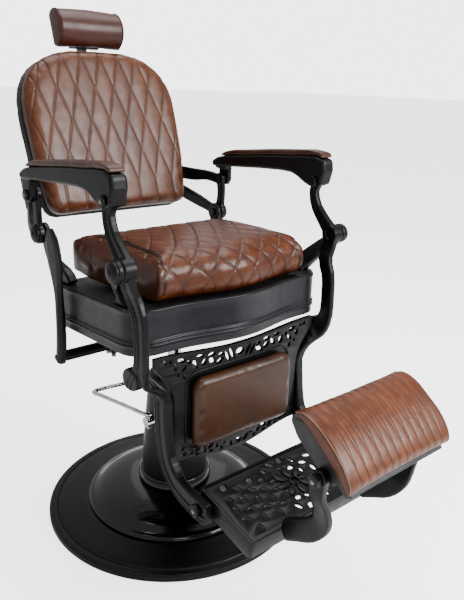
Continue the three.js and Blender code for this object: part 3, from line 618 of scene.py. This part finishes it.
def build_back(look):
    rest = in_back(0, BACK_THICK - 0.4)
    piece = swollen("back_cushion", "back_upholstery", 5, 2.5, 4, [(rest, BACK_OUT)])
    co, out_normal = coordinates(piece) / MM, normals(piece) @ np.array(-BACK_OUT)
    x = co[:, 0]
    up = (co - np.array(BACK_FOOT)) @ np.array(BACK_UP)
    wide, long = look.back_diamond[0] / MM, look.back_diamond[1] / MM
    band = look.back_band / MM
    rise = up - band
    a, b = x / wide + rise / long, x / wide - rise / long
    above = soft_step(rise, -3, 3)
    a = np.where(rise < 0, x / wide, a)
    b = np.where(rise < 0, 0.5 + 0 * b, b)
    front = soft_step(out_normal, 0.35, 0.7)
    foot = soft_step(up, 12, 24)
    top = 1 - soft_step(up, BACK_RISE - 22, BACK_RISE - 8)
    quilted(piece, a, b, front * foot * top, front * above * top, diamond(look.back_diamond)[0],
            look.back_puff / MM, 1.0)
    upholstered(piece, "back_cushion", MATERIALS["back"])
    board = softened("back_board", 4, 6, "back_shell")
    standing_for(board, "back_board", MATERIALS["shell"], angle=60)


def build_headrest(_look):
    rest = in_back(512, 66)
    piece = swollen("headrest_cushion", "headrest_upholstery", 4, 2, 4, [(rest, BACK_OUT)])
    upholstered(piece, "headrest_cushion", MATERIALS["head"])
    for tag, sign in SIDES.items():
        guides = []
        for i in range(25):
            angle = math.radians(-88 + 176 * i / 24)
            guides.append(in_back(512 + 60 * math.sin(angle), 48 - 62 * math.cos(angle), sign * 92))
        edging(f"headrest_piping_{tag}", piece, "headrest_cushion", guides, 1.5, MATERIALS["edging"])
    for node in ("headrest_socket", "headrest_bracket", "headrest_knob"):
        standing_for(softened(node, 1.5, 4), node, MATERIALS["cast"])
    standing_for(chamfered("headrest_post", 1.0), "headrest_post", MATERIALS["steel"])


def build_calf_pad(_look):
    piece = swollen("calf_pad", "calf_upholstery", 4, 2, 4, [((0, PANEL_Y - 5.4, 0), (0, 1, 0))])
    upholstered(piece, "calf_pad", MATERIALS["calf"])


def build_foot_pad(look):
    piece = swollen("foot_cushion", "foot_upholstery", 4, 1.5, 3, [])
    _, high = box_mm("foot_cushion")
    co, up = coordinates(piece) / MM, normals(piece)
    x, y, z = co.T
    run = (high.y - y) * 0.72 + (high.z - z) * 0.69
    wide, long = look.foot_diamond[0] / MM, look.foot_diamond[1] / MM
    a, b = x / wide + run / long, x / wide - run / long
    outer = soft_step(up[:, 2] - 0.75 * up[:, 1], 0.2, 0.6)
    inside = 1 - soft_step(np.abs(x), high.x - 30, high.x - 20)
    mask = outer * inside
    quilted(piece, a, b, mask, mask, diamond(look.foot_diamond)[0], look.foot_puff / MM, 0.5)
    upholstered(piece, "foot_cushion", MATERIALS["foot"])
    crown = smooth_line([(0, -598, 574), (0, -622, 592), (0, -650, 586), (0, -682, 570), (0, -712, 547),
                         (0, -740, 517), (0, -754, 488), (0, -748, 472)], 5)
    for tag, sign in SIDES.items():
        guides = [(sign * 151, p[1], p[2]) for p in crown]
        edging(f"foot_piping_{tag}", piece, "foot_cushion", guides, 1.1, MATERIALS["cord"])
    shell = softened("foot_shell", 2.5, 5)
    standing_for(shell, "foot_shell", MATERIALS["shell"])


# ---------------------------------------------------------------- base and pump

def build_base(_look):
    rim = [(0, 21), (238, 21), (322, 11), (322, 0), (348, 0), (350, 2), (350, 11), (349, 14), (345, 17.5),
           (343, 18), (331, 18), (329.5, 17), (328, 15), (326.5, 15), (325, 17), (323, 18)]
    slope = [(300, 20.6), (264, 25.5), (254, 27.6), (246, 28), (0, 28)]
    standing_for(turned("base_casting", rim + slope, 192), "base_plate", MATERIALS["cast"], angle=30)
    crown = smooth_line([(240, 35), (236, 39.5), (228, 42.5), (216, 50), (205, 56.5), (186, 64), (165, 69.5),
                         (130, 75), (92, 78)], 6)
    under = [(92, 75), (165, 67), (205, 53.5), (225, 39), (236, 28.4), (240, 28.4)]
    standing_for(turned("base_bell", [*under, *crown], 192), "base_cover", MATERIALS["gloss"], angle=50)
    trim = turned("base_bell_bead", oval(239.2, 33, 6.4, 6.4, 11), 192)
    finished(trim, "base_cover", MATERIALS["gloss"], angle=60)
    collar = [(90.5, 78.4), (98, 78.4), (100.5, 80), (101.5, 84), (101, 90), (98, 96), (96.4, 99),
              (98, 102), (97, 106), (94, 108), (90.5, 108)]
    standing_for(turned("base_ring", collar), "base_collar", MATERIALS["gloss"], angle=50)
    outer = smooth_line([(90, 122), (88, 170), (82, 250), (77, 310), (74, 345), (71.5, 380), (69.5, 393),
                         (64, 400)], 8)
    sleeve = [(86, 30), (90, 30), *outer, (47, 400), (47, 394), (62, 388), (70, 330), (86, 122)]
    standing_for(turned("column_shroud", sleeve), "column_sleeve", MATERIALS["cast"], angle=50)
    ram = [(0, 250), (18, 250), (18, 609), (17, 610), (0, 610)]
    standing_for(turned("ram_bar", ram, 64), "ram", MATERIALS["chrome"], angle=30)
    gland = [(18.2, 380), (31.8, 380), (31.8, 404.4), (45, 404.4), (46, 406), (45, 409), (42, 412),
             (24, 413), (22, 416), (18.2, 416)]
    standing_for(turned("gland_nut", gland, 96), "cylinder_bearing", MATERIALS["steel"], angle=30)
    for node, finish in (("pump_cylinder", "steel"), ("piston", "rubber"), ("swivel_bearing", "steel"),
                         ("floor_pad", "rubber")):
        plain(node, finish)


def plain(node, finish):
    """A frame node that keeps its own mesh and takes a finish."""
    data = frame["nodes"][node].data
    data.materials.clear()
    data.materials.append(MATERIALS[finish])


def build_pedal(_look):
    bends = [(-101, -28, 306), (-104, -38, 315), (-112, -54, 324), (-121, -63, 329), (-130, -60, 332),
             (-136, -46, 333), (-150, 10, 334), (-172, 96, 334), (-179, 118, 334), (-177, 128, 334),
             (-169, 132, 334), (-150, 132, 334), (-96, 126, 334), (-70, 122, 334)]
    rod = tube("pedal_rod", smooth_line(bends, 8), 5.5, sides=5)
    standing_for(rod, "pump_pedal", MATERIALS["chrome"], angle=60)
    standing_for(chamfered("pump_pivot", 0.8), "pump_pivot", MATERIALS["chrome"])


# ---------------------------------------------------------------- seat frame

def apron_plan():
    """Plan of the apron: straight sides, canted front corners, a front that bows forward."""
    half, front, back, bow, bow_half = 278, -262, 114, 32, 190
    right = [(half, back), (half, -224), (half - 32, front)]
    swell = [(x, front - bow * math.cos(math.pi * x / (2 * bow_half)) ** 2)
             for x in np.linspace(bow_half, -bow_half, 49)]
    left = [(-x, y) for x, y in reversed(right)]
    ring = [np.array(p, float) for p in [*right, *swell, *left]]
    dense = []
    for p, q in zip(ring, ring[1:] + ring[:1]):
        count = max(1, int(np.linalg.norm(q - p) // 12))
        dense += [p + (q - p) * i / count for i in range(count)]
    for _ in range(3):
        dense = [(p + 2 * q + r) / 4 for p, q, r in zip([dense[-1], *dense[:-1]], dense,
                                                         [*dense[1:], dense[0]])]
    return dense


def build_apron(_look):
    """Pressed skirt of the seat: a double bead low down, a rolled top edge."""
    plan = apron_plan()
    tall = APRON_TOP - APRON_BOTTOM
    outer = [(0, 0), (0.8, 1.5), (1, 4), (1, 17), (1.6, 19), (3.6, 20.5), (4.4, 22.5), (3.6, 24.5),
             (1.8, 25.6), (1.2, 26.6), (1.8, 27.6), (3.6, 28.7), (4.2, 30.5), (3.4, 32.5), (1.2, 34),
             (0.4, 36), (0, 42), (0, tall - 9), (0.6, tall - 6), (1.6, tall - 3.5), (1.8, tall - 1),
             (1.4, tall + 1.6), (0.2, tall + 2.6)]
    inner = [(-1.1, tall + 2.2), (-1.6, tall + 0.8), (-2.5, tall - 0.4), (-4, tall - 3), (-5, tall - 8),
             (-5, 6), (-3, 0)]
    section = outer + inner
    verts, faces = [], []
    count = len(plan)
    for i, point in enumerate(plan):
        along = plan[(i + 1) % count] - plan[i - 1]
        out = np.array([along[1], -along[0]]) / np.linalg.norm(along)
        out = out if out @ point > 0 else -out
        for push, rise in section:
            x, y = point + out * push
            verts.append((x * MM, y * MM, (APRON_BOTTOM + SEAT_SLOPE * y + rise) * MM))
    ring = len(section)
    for i in range(count):
        for j in range(ring):
            k = (j + 1) % ring
            faces.append((i * ring + j, i * ring + k, (i + 1) % count * ring + k,
                          (i + 1) % count * ring + j))
    data = bpy.data.meshes.new("seat_skirt")
    data.from_pydata(verts, [], faces)
    piece = cleaned(new_piece("seat_skirt", data))
    modified(piece, "SUBSURF", levels=1, render_levels=1)
    standing_for(piece, "seat_apron", MATERIALS["apron"], angle=50)
    plain("seat_plate", "cast")
    standing_for(softened("seat_casting", 3, 4), "seat_casting", MATERIALS["cast"])


def build_brackets(_look):
    for tag in SIDES:
        for node in ("front_bracket", "rear_bracket", "back_bracket"):
            name = f"{node}_{tag}"
            standing_for(softened(name, 1.8, 8), name, MATERIALS["cast"], angle=60)
        for node in ("front_hub_pin", "rear_hub_pin"):
            hub_cap(f"{node}_{tag}", SIDES[tag])


def capped(piece, node, sign):
    """Turns a piece's Z axis outward and stands it on a pin's outer face."""
    low, high = box_mm(node)
    middle = (low + high) / 2
    outer = high.x if sign > 0 else low.x
    turn = Matrix.Rotation(math.radians(90) * sign, 4, "Y")
    return placed(piece, Matrix.Translation(Vector((outer, middle.y, middle.z)) * MM) @ turn)


def hub_cap(node, sign):
    """A hub pin whose outer end is a domed cap with a small raised button."""
    dome = [(0, -46), (9.6, -46), (9.6, -12), (22, -12), (23.4, -10), (23.4, -8), (22, -5.2), (18, -2.6),
            (12, -1), (8, -0.6), (7, 0.4), (5, 1.2), (2, 1.5), (0, 1.6)]
    piece = capped(turned(node + "_cap", dome, 48), node, sign)
    return standing_for(piece, node, MATERIALS["cast"], angle=35)


def pin_screw(node, sign):
    """A small bright screw in the middle of a pin's outer face."""
    dome = [(0, -1), (4.5, -1), (4.5, 0.6), (3.8, 1.4), (2, 1.9), (0, 2)]
    piece = capped(turned(node + "_screw", dome, 24), node, sign)
    return finished(piece, node, MATERIALS["zinc"], angle=35)


def build_handle(_look):
    for node in ("recline_handle", "handle_shaft", "handle_hanger"):
        standing_for(softened(node, 1.8, 9), node, MATERIALS["cast"], angle=60)
    for i, y in enumerate((48, 76)):
        stud = turned(f"hanger_stud_{i}", [(0, -17), (5.5, -17), (6, -16), (6, -11), (5.5, -10), (3.5, -10),
                                           (3.5, 0), (0, 0)], 24)
        placed(stud, Matrix.Translation(Vector((-157, y, 480)) * MM))
        finished(stud, "handle_hanger", MATERIALS["zinc"], angle=30)


# ---------------------------------------------------------------- armrests

def build_arms(_look):
    for tag, sign in SIDES.items():
        rest = softened(f"armrest_{tag}", 2, 9)
        standing_for(rest, f"armrest_{tag}", MATERIALS["cast"], angle=60)
        pad = swollen(f"arm_pad_{tag}", f"arm_upholstery_{tag}", 3, 1.5, 3, [])
        upholstered(pad, f"arm_pad_{tag}", MATERIALS["arm"])
        for node in ("front_arm_pin", "rear_arm_pin"):
            name = f"{node}_{tag}"
            standing_for(chamfered(name, 0.8), name, MATERIALS["cast"], angle=30)
            pin_screw(name, sign)


# ---------------------------------------------------------------- leg rest

LEVER_LINE = [(-212, 921, 30), (-201, 893, 24), (-212, 856, 27), (-240, 824, 32), (-268, 793, 40),
              (-264, 758, 40), (-268, 728, 38), (-284, 690, 36), (-287, 640, 36), (-286, 590, 38),
              (-274, 556, 48), (-262, 536, 54), (-256, 514, 46), (-254, 482, 42), (-258, 430, 40),
              (-264, 380, 40), (-276, 336, 42), (-310, 302, 44), (-356, 294, 48), (-408, 288, 50),
              (-438, 288, 46)]


def build_levers(_look):
    """The long front castings: two steps and a groove follow the front edge of each outer face."""
    line = np.array(smooth_line(LEVER_LINE, 12))
    run = np.gradient(line[:, :2], axis=0)
    run /= np.linalg.norm(run, axis=1, keepdims=True)
    front = np.stack([run[:, 1], -run[:, 0]], 1)
    for tag, sign in SIDES.items():
        name = f"front_lever_{tag}"
        piece = softened(name, 2.2, 3)
        co, up = coordinates(piece), normals(piece)
        side = co[:, 1:] / MM
        nearest = np.zeros(len(side), int)
        for start in range(0, len(side), 4000):
            gap = side[start:start + 4000, None, :] - line[None, :, :2]
            nearest[start:start + 4000] = (gap**2).sum(2).argmin(1)
        across = ((side - line[nearest, :2]) * -front[nearest]).sum(1) / (line[nearest, 2] / 2)
        outer = soft_step(up[:, 0] * sign, 0.5, 0.85)
        step = soft_step(across, 0.18, 0.26) * 2.2 + soft_step(across, 0.56, 0.64) * 2.2
        groove = np.exp(-((across - 0.12) / 0.05) ** 2) * 0.8
        co[:, 0] += sign * outer * (step - groove) * MM
        reshape(piece, co)
        standing_for(piece, name, MATERIALS["cast"], angle=45)
        for node in ("foot_arm", "foot_bolt", "pad_bolt"):
            part = f"{node}_{tag}"
            if node == "foot_arm":
                standing_for(softened(part, 2, 8), part, MATERIALS["cast"], angle=60)
            else:
                standing_for(chamfered(part, 1.2), part, MATERIALS["cast"], angle=30)
                pin_screw(part, sign)


LEAF_LONGER = 1.08
LEAF_WIDER = 1.4


def leaf(x, y, long, wide, turn, blunt=0.0, points=7):
    """A pointed oval; with blunt above 0 one end is round, as on a teardrop."""
    long, wide = long * LEAF_LONGER, wide * LEAF_WIDER
    ring = []
    for side in (1, -1):
        for i in range(points):
            t = -1 + 2 * i / points
            t = t if side > 0 else -t
            swell = (1 - t * t) ** (0.9 if t < 0 or not blunt else 0.5)
            ring.append((t * long / 2, side * swell * wide / 2))
    c, s = math.cos(math.radians(turn)), math.sin(math.radians(turn))
    return [(x + u * c - v * s, y + u * s + v * c) for u, v in ring]


def oval(x, y, wide, tall, points=18):
    return [(x + wide / 2 * math.cos(t), y + tall / 2 * math.sin(t))
            for t in np.linspace(0, 2 * math.pi, points, endpoint=False)]


def mirrored(shapes):
    return shapes + [[(-x, y) for x, y in reversed(shape)] for shape in shapes]


def dense(ring, steps=2):
    """The ring with extra points along each side."""
    ring = np.array(ring, float)
    ahead = np.roll(ring, -1, axis=0)
    return np.concatenate([ring + (ahead - ring) * i / steps for i in range(steps)])


def apart(outline, holes, gap):
    """Shrinks each hole about its middle until it stands clear of the outline and the earlier holes."""
    kept = [dense(outline)]
    for hole in holes:
        ring = dense(hole)
        middle = ring.mean(0)
        while any(np.linalg.norm(ring[:, None] - other[None], axis=2).min() < gap for other in kept):
            ring = middle + (ring - middle) * 0.92
        kept.append(ring)
    return [[tuple(point) for point in ring[:len(hole)]] for ring, hole in zip(kept[1:], holes)]


def panel_holes():
    """Fretwork above and below the calf pad."""
    holes = [oval(0, 550, 25, 17), oval(0, 312, 26, 14)]
    upper = [leaf(24, 550, 34, 7, 62), leaf(37, 546, 30, 7, 60), leaf(56, 556, 24, 9, 10),
             leaf(60, 541, 26, 8, -28), leaf(84, 562, 22, 7, 0), leaf(82, 546, 22, 9, 40, 1),
             leaf(104, 550, 25, 10, -50, 1), leaf(116, 566, 20, 6, 14), leaf(130, 549, 24, 10, 64),
             oval(147, 560, 10, 10), leaf(160, 548, 22, 8, -48), leaf(168, 568, 24, 7, 22),
             leaf(184, 556, 18, 8, 80, 1), oval(197, 572, 9, 7), leaf(210, 574, 13, 6, 60),
             oval(176, 536, 7, 9), leaf(160, 528, 16, 7, 70)]
    lower = [leaf(25, 314, 26, 8, 44), leaf(42, 321, 22, 7, -36), leaf(52, 310, 14, 7, 40, 1),
             leaf(66, 322, 24, 8, 54), leaf(84, 328, 20, 8, -30, 1), leaf(84, 314, 16, 6, 12),
             leaf(104, 326, 24, 8, 58), leaf(122, 332, 20, 7, -24), leaf(124, 320, 13, 6, 20),
             leaf(142, 333, 22, 8, 60, 1), oval(160, 334, 9, 12), leaf(166, 352, 20, 7, 70)]
    return holes + mirrored(upper) + mirrored(lower)


def arch_line(half, ends, middle, count):
    return [(x, ends + (middle - ends) * math.cos(math.pi * x / (2 * half)) ** 2)
            for x in np.linspace(-half, half, count)]


def build_leg_panel(_look):
    narrow, broad = 187, 238
    sweep = smooth_line([(narrow, 470), (195, 506), (217, 538), (broad, 566)], 6)
    outline = [*arch_line(narrow, 320, 294, 25), *sweep, *reversed(arch_line(broad, 588, 572, 33)),
               *[(-x, z) for x, z in reversed(sweep)]]
    stand = Matrix.Translation((0, PANEL_Y * MM, 0)) @ Matrix.Rotation(math.radians(90), 4, "X")
    piece = plate("leg_fret", outline, apart(outline, panel_holes(), 2.2), 10, 0.6, stand)
    standing_for(piece, "leg_panel", MATERIALS["cast"], angle=35)
    rim = tube("calf_frame", [(x, PANEL_Y - 6, z) for x, z in oval_box(0, 434.5, 314, 193, 33)], 2.2,
               closed=True)
    finished(rim, "leg_panel", MATERIALS["cast"], angle=60)


def oval_box(x, y, wide, tall, corner, steps=6):
    ring = []
    for quarter, (sx, sy) in enumerate(((1, 1), (-1, 1), (-1, -1), (1, -1))):
        cx, cy = x + sx * (wide / 2 - corner), y + sy * (tall / 2 - corner)
        for i in range(steps + 1):
            angle = math.pi / 2 * (quarter + i / steps)
            ring.append((cx + corner * math.cos(angle), cy + corner * math.sin(angle)))
    return ring


def foot_holes():
    """Leaves and drops in rings round the footplate's middle."""
    holes = []
    taken = []
    middle = (0, -66)
    for ring, (reach, count, long, wide) in enumerate(((46, 12, 22, 8), (72, 16, 24, 9), (100, 22, 26, 9),
                                                       (130, 26, 26, 10), (160, 30, 26, 10),
                                                       (190, 34, 24, 9))):
        for i in range(count):
            angle = 2 * math.pi * (i + 0.5 * (ring % 2)) / count
            x, y = middle[0] + 1.05 * reach * math.cos(angle), middle[1] + 0.98 * reach * math.sin(angle)
            if not (abs(x) < 178 and -136 < y < 4):
                continue
            if any(math.hypot(x - u, y - v) < 21 for u, v in taken):
                continue
            taken.append((x, y))
            turn = math.degrees(angle) + (62 if (i + ring) % 2 else -38)
            holes.append(leaf(x, y, long * 0.86, wide, turn, blunt=(i + ring) % 3))
    return holes


def build_footplate(_look):
    tilt = Matrix.Translation((FOOT_BOLT + Vector((0, 0, 24))) * MM) @ Matrix.Rotation(FOOT_TILT, 4, "X")
    outline = oval_box(0, -66.5, 396, 172, 8)
    top = plate("foot_fret", outline, apart(outline, foot_holes(), 2.2), 7, 0.6, tilt)
    standing_for(top, "footplate", MATERIALS["cast"], angle=35)
    wall_outer, wall_inner = oval_box(0, -67, 400, 178, 10), oval_box(0, -67, 387, 165, 5)
    skirt = plate("foot_rim", wall_outer, [wall_inner], 44, 1.4,
                  tilt @ Matrix.Translation((0, 0, -15 * MM)))
    finished(skirt, "footplate", MATERIALS["cast"], angle=35)
    petals = [leaf(32 * math.cos(t), -66 + 26 * math.sin(t), 34, 13, math.degrees(t), 1)
              for t in np.linspace(0, 2 * math.pi, 8, endpoint=False)]
    rosette = [plate(f"foot_petal_{i}", petal, [], 6, 2.2, tilt @ Matrix.Translation((0, 0, 5 * MM)))
               for i, petal in enumerate(petals)]
    rosette.append(plate("foot_rosette_ring", oval(0, -66, 30, 26, 32), [oval(0, -66, 20, 16, 32)], 6, 2,
                         tilt @ Matrix.Translation((0, 0, 6 * MM))))
    finished(joined("foot_rosette", *rosette), "footplate", MATERIALS["cast"], angle=35)


# ---------------------------------------------------------------- stage

FLOOR_GLOW = 0.6  # the floor's own light where it is seen, as a share of the backdrop's


def build_stage(look):
    bpy.ops.mesh.primitive_plane_add(size=120, location=(0, 0, -0.0005))
    floor = bpy.context.active_object
    floor.name = "floor"
    material, tree, shader, place = blank("pale_studio_floor", Roughness=0.9, Specular_IOR_Level=0.1,
                                          Emission_Color=linear("FFFFFF"))
    seen = add(tree, "ShaderNodeLightPath").outputs["Is Camera Ray"]
    glow = maths(tree, "MULTIPLY", seen, look.backdrop * FLOOR_GLOW)
    tree.links.new(glow, shader.inputs["Emission Strength"])
    tree.links.new(mixed(tree, mottled(tree, place, 900, 0, 1), linear("FCFCFC"), linear("F8F8F8")),
                   shader.inputs["Base Color"])
    floor.data.materials.append(material)
    world = bpy.data.worlds.new("studio")
    world.use_nodes = True
    sky = world.node_tree.nodes["Background"]
    sky.inputs["Color"].default_value = linear("FFFFFF")
    seen = add(world.node_tree, "ShaderNodeLightPath").outputs["Is Camera Ray"]
    strength = ranged(world.node_tree, seen, 0, 1, look.sky, look.backdrop)
    world.node_tree.links.new(strength, sky.inputs["Strength"])
    bpy.context.scene.world = world
    for name, place, size, power, aim in (
            ("key", (1.3, -2.8, 2.3), 1.6, look.key, (0, 0, 0.7)),
            ("fill", (-1.2, -2.8, 1.6), 1.2, look.key * 0.12, (0, 0, 0.7)),
            ("top", (0.3, 0.2, 3.4), 2.2, look.key * 0.5, (0, 0, 0.6)),
            ("rear", (1.8, 2.4, 2.4), 1.8, look.key * 0.04, (0, 0, 0.7))):
        data = bpy.data.lights.new(name, "AREA")
        data.size = size
        data.energy = power
        lamp = new_piece(name, data)
        lamp.location = place
        lamp.rotation_euler = (Vector(aim) - Vector(place)).to_track_quat("-Z", "Y").to_euler()
    build_camera()


def build_camera():
    """A standing viewer's camera, to the sitter's right of the chair and in front of it."""
    yaw, pitch, roll = -0.712, 0.317, 0.034
    right = Vector((math.cos(yaw), math.sin(yaw), 0))
    ahead = Vector((-math.sin(yaw), math.cos(yaw), 0))
    forward = ahead * math.cos(pitch) - Vector((0, 0, math.sin(pitch)))
    above = ahead * math.sin(pitch) + Vector((0, 0, math.cos(pitch)))
    across = right * math.cos(roll) + above * math.sin(roll)
    upward = above * math.cos(roll) - right * math.sin(roll)
    data = bpy.data.cameras.new("camera")
    data.sensor_width = 36
    data.lens = 39.01
    data.shift_x = -0.0206
    data.shift_y = -0.0090
    camera = new_piece("camera", data)
    camera.matrix_world = Matrix((
        (across.x, upward.x, -forward.x, -0.918),
        (across.y, upward.y, -forward.y, -1.344),
        (across.z, upward.z, -forward.z, 1.152),
        (0, 0, 0, 1)))
    bpy.context.scene.camera = camera


# ---------------------------------------------------------------- add-on

class ChairLook(bpy.types.PropertyGroup):
    """Sizes a user would change."""
    seat_diamond: bpy.props.FloatVectorProperty(
        name="Seat diamond", description="Width and length of a diamond on the seat", size=2,
        default=(0.062, 0.104), unit="LENGTH")
    back_diamond: bpy.props.FloatVectorProperty(
        name="Back diamond", description="Width and length of a diamond on the back", size=2,
        default=(0.056, 0.172), unit="LENGTH")
    foot_diamond: bpy.props.FloatVectorProperty(
        name="Foot pad diamond", description="Width and length of a diamond on the foot pad", size=2,
        default=(0.022, 0.300), unit="LENGTH")
    back_band: bpy.props.FloatProperty(
        name="Back band", description="Height of the band of upright seams at the back's foot",
        default=0.085, unit="LENGTH")
    seat_puff: bpy.props.FloatProperty(
        name="Seat puff", description="Rise of the seat's leather between seams", default=0.0018,
        unit="LENGTH")
    back_puff: bpy.props.FloatProperty(
        name="Back puff", description="Rise of the back's leather between seams", default=0.0014,
        unit="LENGTH")
    foot_puff: bpy.props.FloatProperty(
        name="Foot pad puff", description="Rise of the foot pad's leather between seams", default=0.0004,
        unit="LENGTH")
    sky: bpy.props.FloatProperty(name="Sky", description="Strength of the white surround", default=0.6)
    backdrop: bpy.props.FloatProperty(
        name="Backdrop", description="Brightness of the surround where it is seen", default=4.0)
    key: bpy.props.FloatProperty(
        name="Key light", description="Power of the main softbox", default=165, unit="POWER")


class Step:
    """Runs the function that makes this step's pieces."""

    def execute(self, context):
        self.build(context.scene.barber_chair)
        return {"FINISHED"}


class BARBER_OT_materials(Step, bpy.types.Operator):
    """Enamels, plating, rubber and leathers."""
    bl_idname = "barber.materials"
    bl_label = "Materials"
    build = staticmethod(make_materials)


class BARBER_OT_stage(Step, bpy.types.Operator):
    """Pale floor, white surround, softboxes and camera."""
    bl_idname = "barber.stage"
    bl_label = "Studio"
    build = staticmethod(build_stage)


class BARBER_OT_base(Step, bpy.types.Operator):
    """Round base plate, bell, collar, sleeve, ram and gland."""
    bl_idname = "barber.base"
    bl_label = "Base"
    build = staticmethod(build_base)


class BARBER_OT_pedal(Step, bpy.types.Operator):
    """Bent-rod pump pedal and its pivot."""
    bl_idname = "barber.pedal"
    bl_label = "Pump pedal"
    build = staticmethod(build_pedal)


class BARBER_OT_apron(Step, bpy.types.Operator):
    """Beaded seat skirt, seat plate and casting."""
    bl_idname = "barber.apron"
    bl_label = "Seat apron"
    build = staticmethod(build_apron)


class BARBER_OT_seat(Step, bpy.types.Operator):
    """Quilted seat cushion and its piping."""
    bl_idname = "barber.seat"
    bl_label = "Seat cushion"
    build = staticmethod(build_seat)


class BARBER_OT_brackets(Step, bpy.types.Operator):
    """Seat and back brackets with their hub caps."""
    bl_idname = "barber.brackets"
    bl_label = "Brackets"
    build = staticmethod(build_brackets)


class BARBER_OT_back(Step, bpy.types.Operator):
    """Quilted back cushion and its shell."""
    bl_idname = "barber.back"
    bl_label = "Back"
    build = staticmethod(build_back)


class BARBER_OT_headrest(Step, bpy.types.Operator):
    """Headrest roll, post, socket and bracket."""
    bl_idname = "barber.headrest"
    bl_label = "Headrest"
    build = staticmethod(build_headrest)


class BARBER_OT_handle(Step, bpy.types.Operator):
    """Recline paddle, its shaft and hanger."""
    bl_idname = "barber.handle"
    bl_label = "Recline paddle"
    build = staticmethod(build_handle)


class BARBER_OT_arms(Step, bpy.types.Operator):
    """Armrest castings, their pads and pins."""
    bl_idname = "barber.arms"
    bl_label = "Armrests"
    build = staticmethod(build_arms)


class BARBER_OT_levers(Step, bpy.types.Operator):
    """Front levers, foot arms and their bolts."""
    bl_idname = "barber.levers"
    bl_label = "Levers"
    build = staticmethod(build_levers)


class BARBER_OT_leg_panel(Step, bpy.types.Operator):
    """Pierced leg panel and the calf pad's frame."""
    bl_idname = "barber.leg_panel"
    bl_label = "Leg panel"
    build = staticmethod(build_leg_panel)


class BARBER_OT_calf_pad(Step, bpy.types.Operator):
    """Plain calf pad."""
    bl_idname = "barber.calf_pad"
    bl_label = "Calf pad"
    build = staticmethod(build_calf_pad)


class BARBER_OT_footplate(Step, bpy.types.Operator):
    """Pierced footplate with its rim and rosette."""
    bl_idname = "barber.footplate"
    bl_label = "Footplate"
    build = staticmethod(build_footplate)


class BARBER_OT_foot_pad(Step, bpy.types.Operator):
    """Pleated foot pad, its edging and shell."""
    bl_idname = "barber.foot_pad"
    bl_label = "Foot pad"
    build = staticmethod(build_foot_pad)


OPERATORS = tuple(Step.__subclasses__())


class BARBER_PT_chair(bpy.types.Panel):
    """Lists the chair's sizes and its building steps."""
    bl_idname = "BARBER_PT_chair"
    bl_label = "Barber chair"
    bl_space_type = "VIEW_3D"
    bl_region_type = "UI"
    bl_category = "Barber chair"

    def draw(self, context):
        look = context.scene.barber_chair
        for name in ChairLook.__annotations__:
            self.layout.prop(look, name)
        for step in OPERATORS:
            self.layout.operator(step.bl_idname)


CLASSES = (ChairLook, *OPERATORS, BARBER_PT_chair)


def register():
    for item in CLASSES:
        bpy.utils.register_class(item)
    bpy.types.Scene.barber_chair = bpy.props.PointerProperty(type=ChairLook)


def unregister():
    del bpy.types.Scene.barber_chair
    for item in reversed(CLASSES):
        bpy.utils.unregister_class(item)


def main():
    register()
    for step in OPERATORS:
        group, name = step.bl_idname.split(".")
        getattr(getattr(bpy.ops, group), name)()


if __name__ == "__main__":
    main()
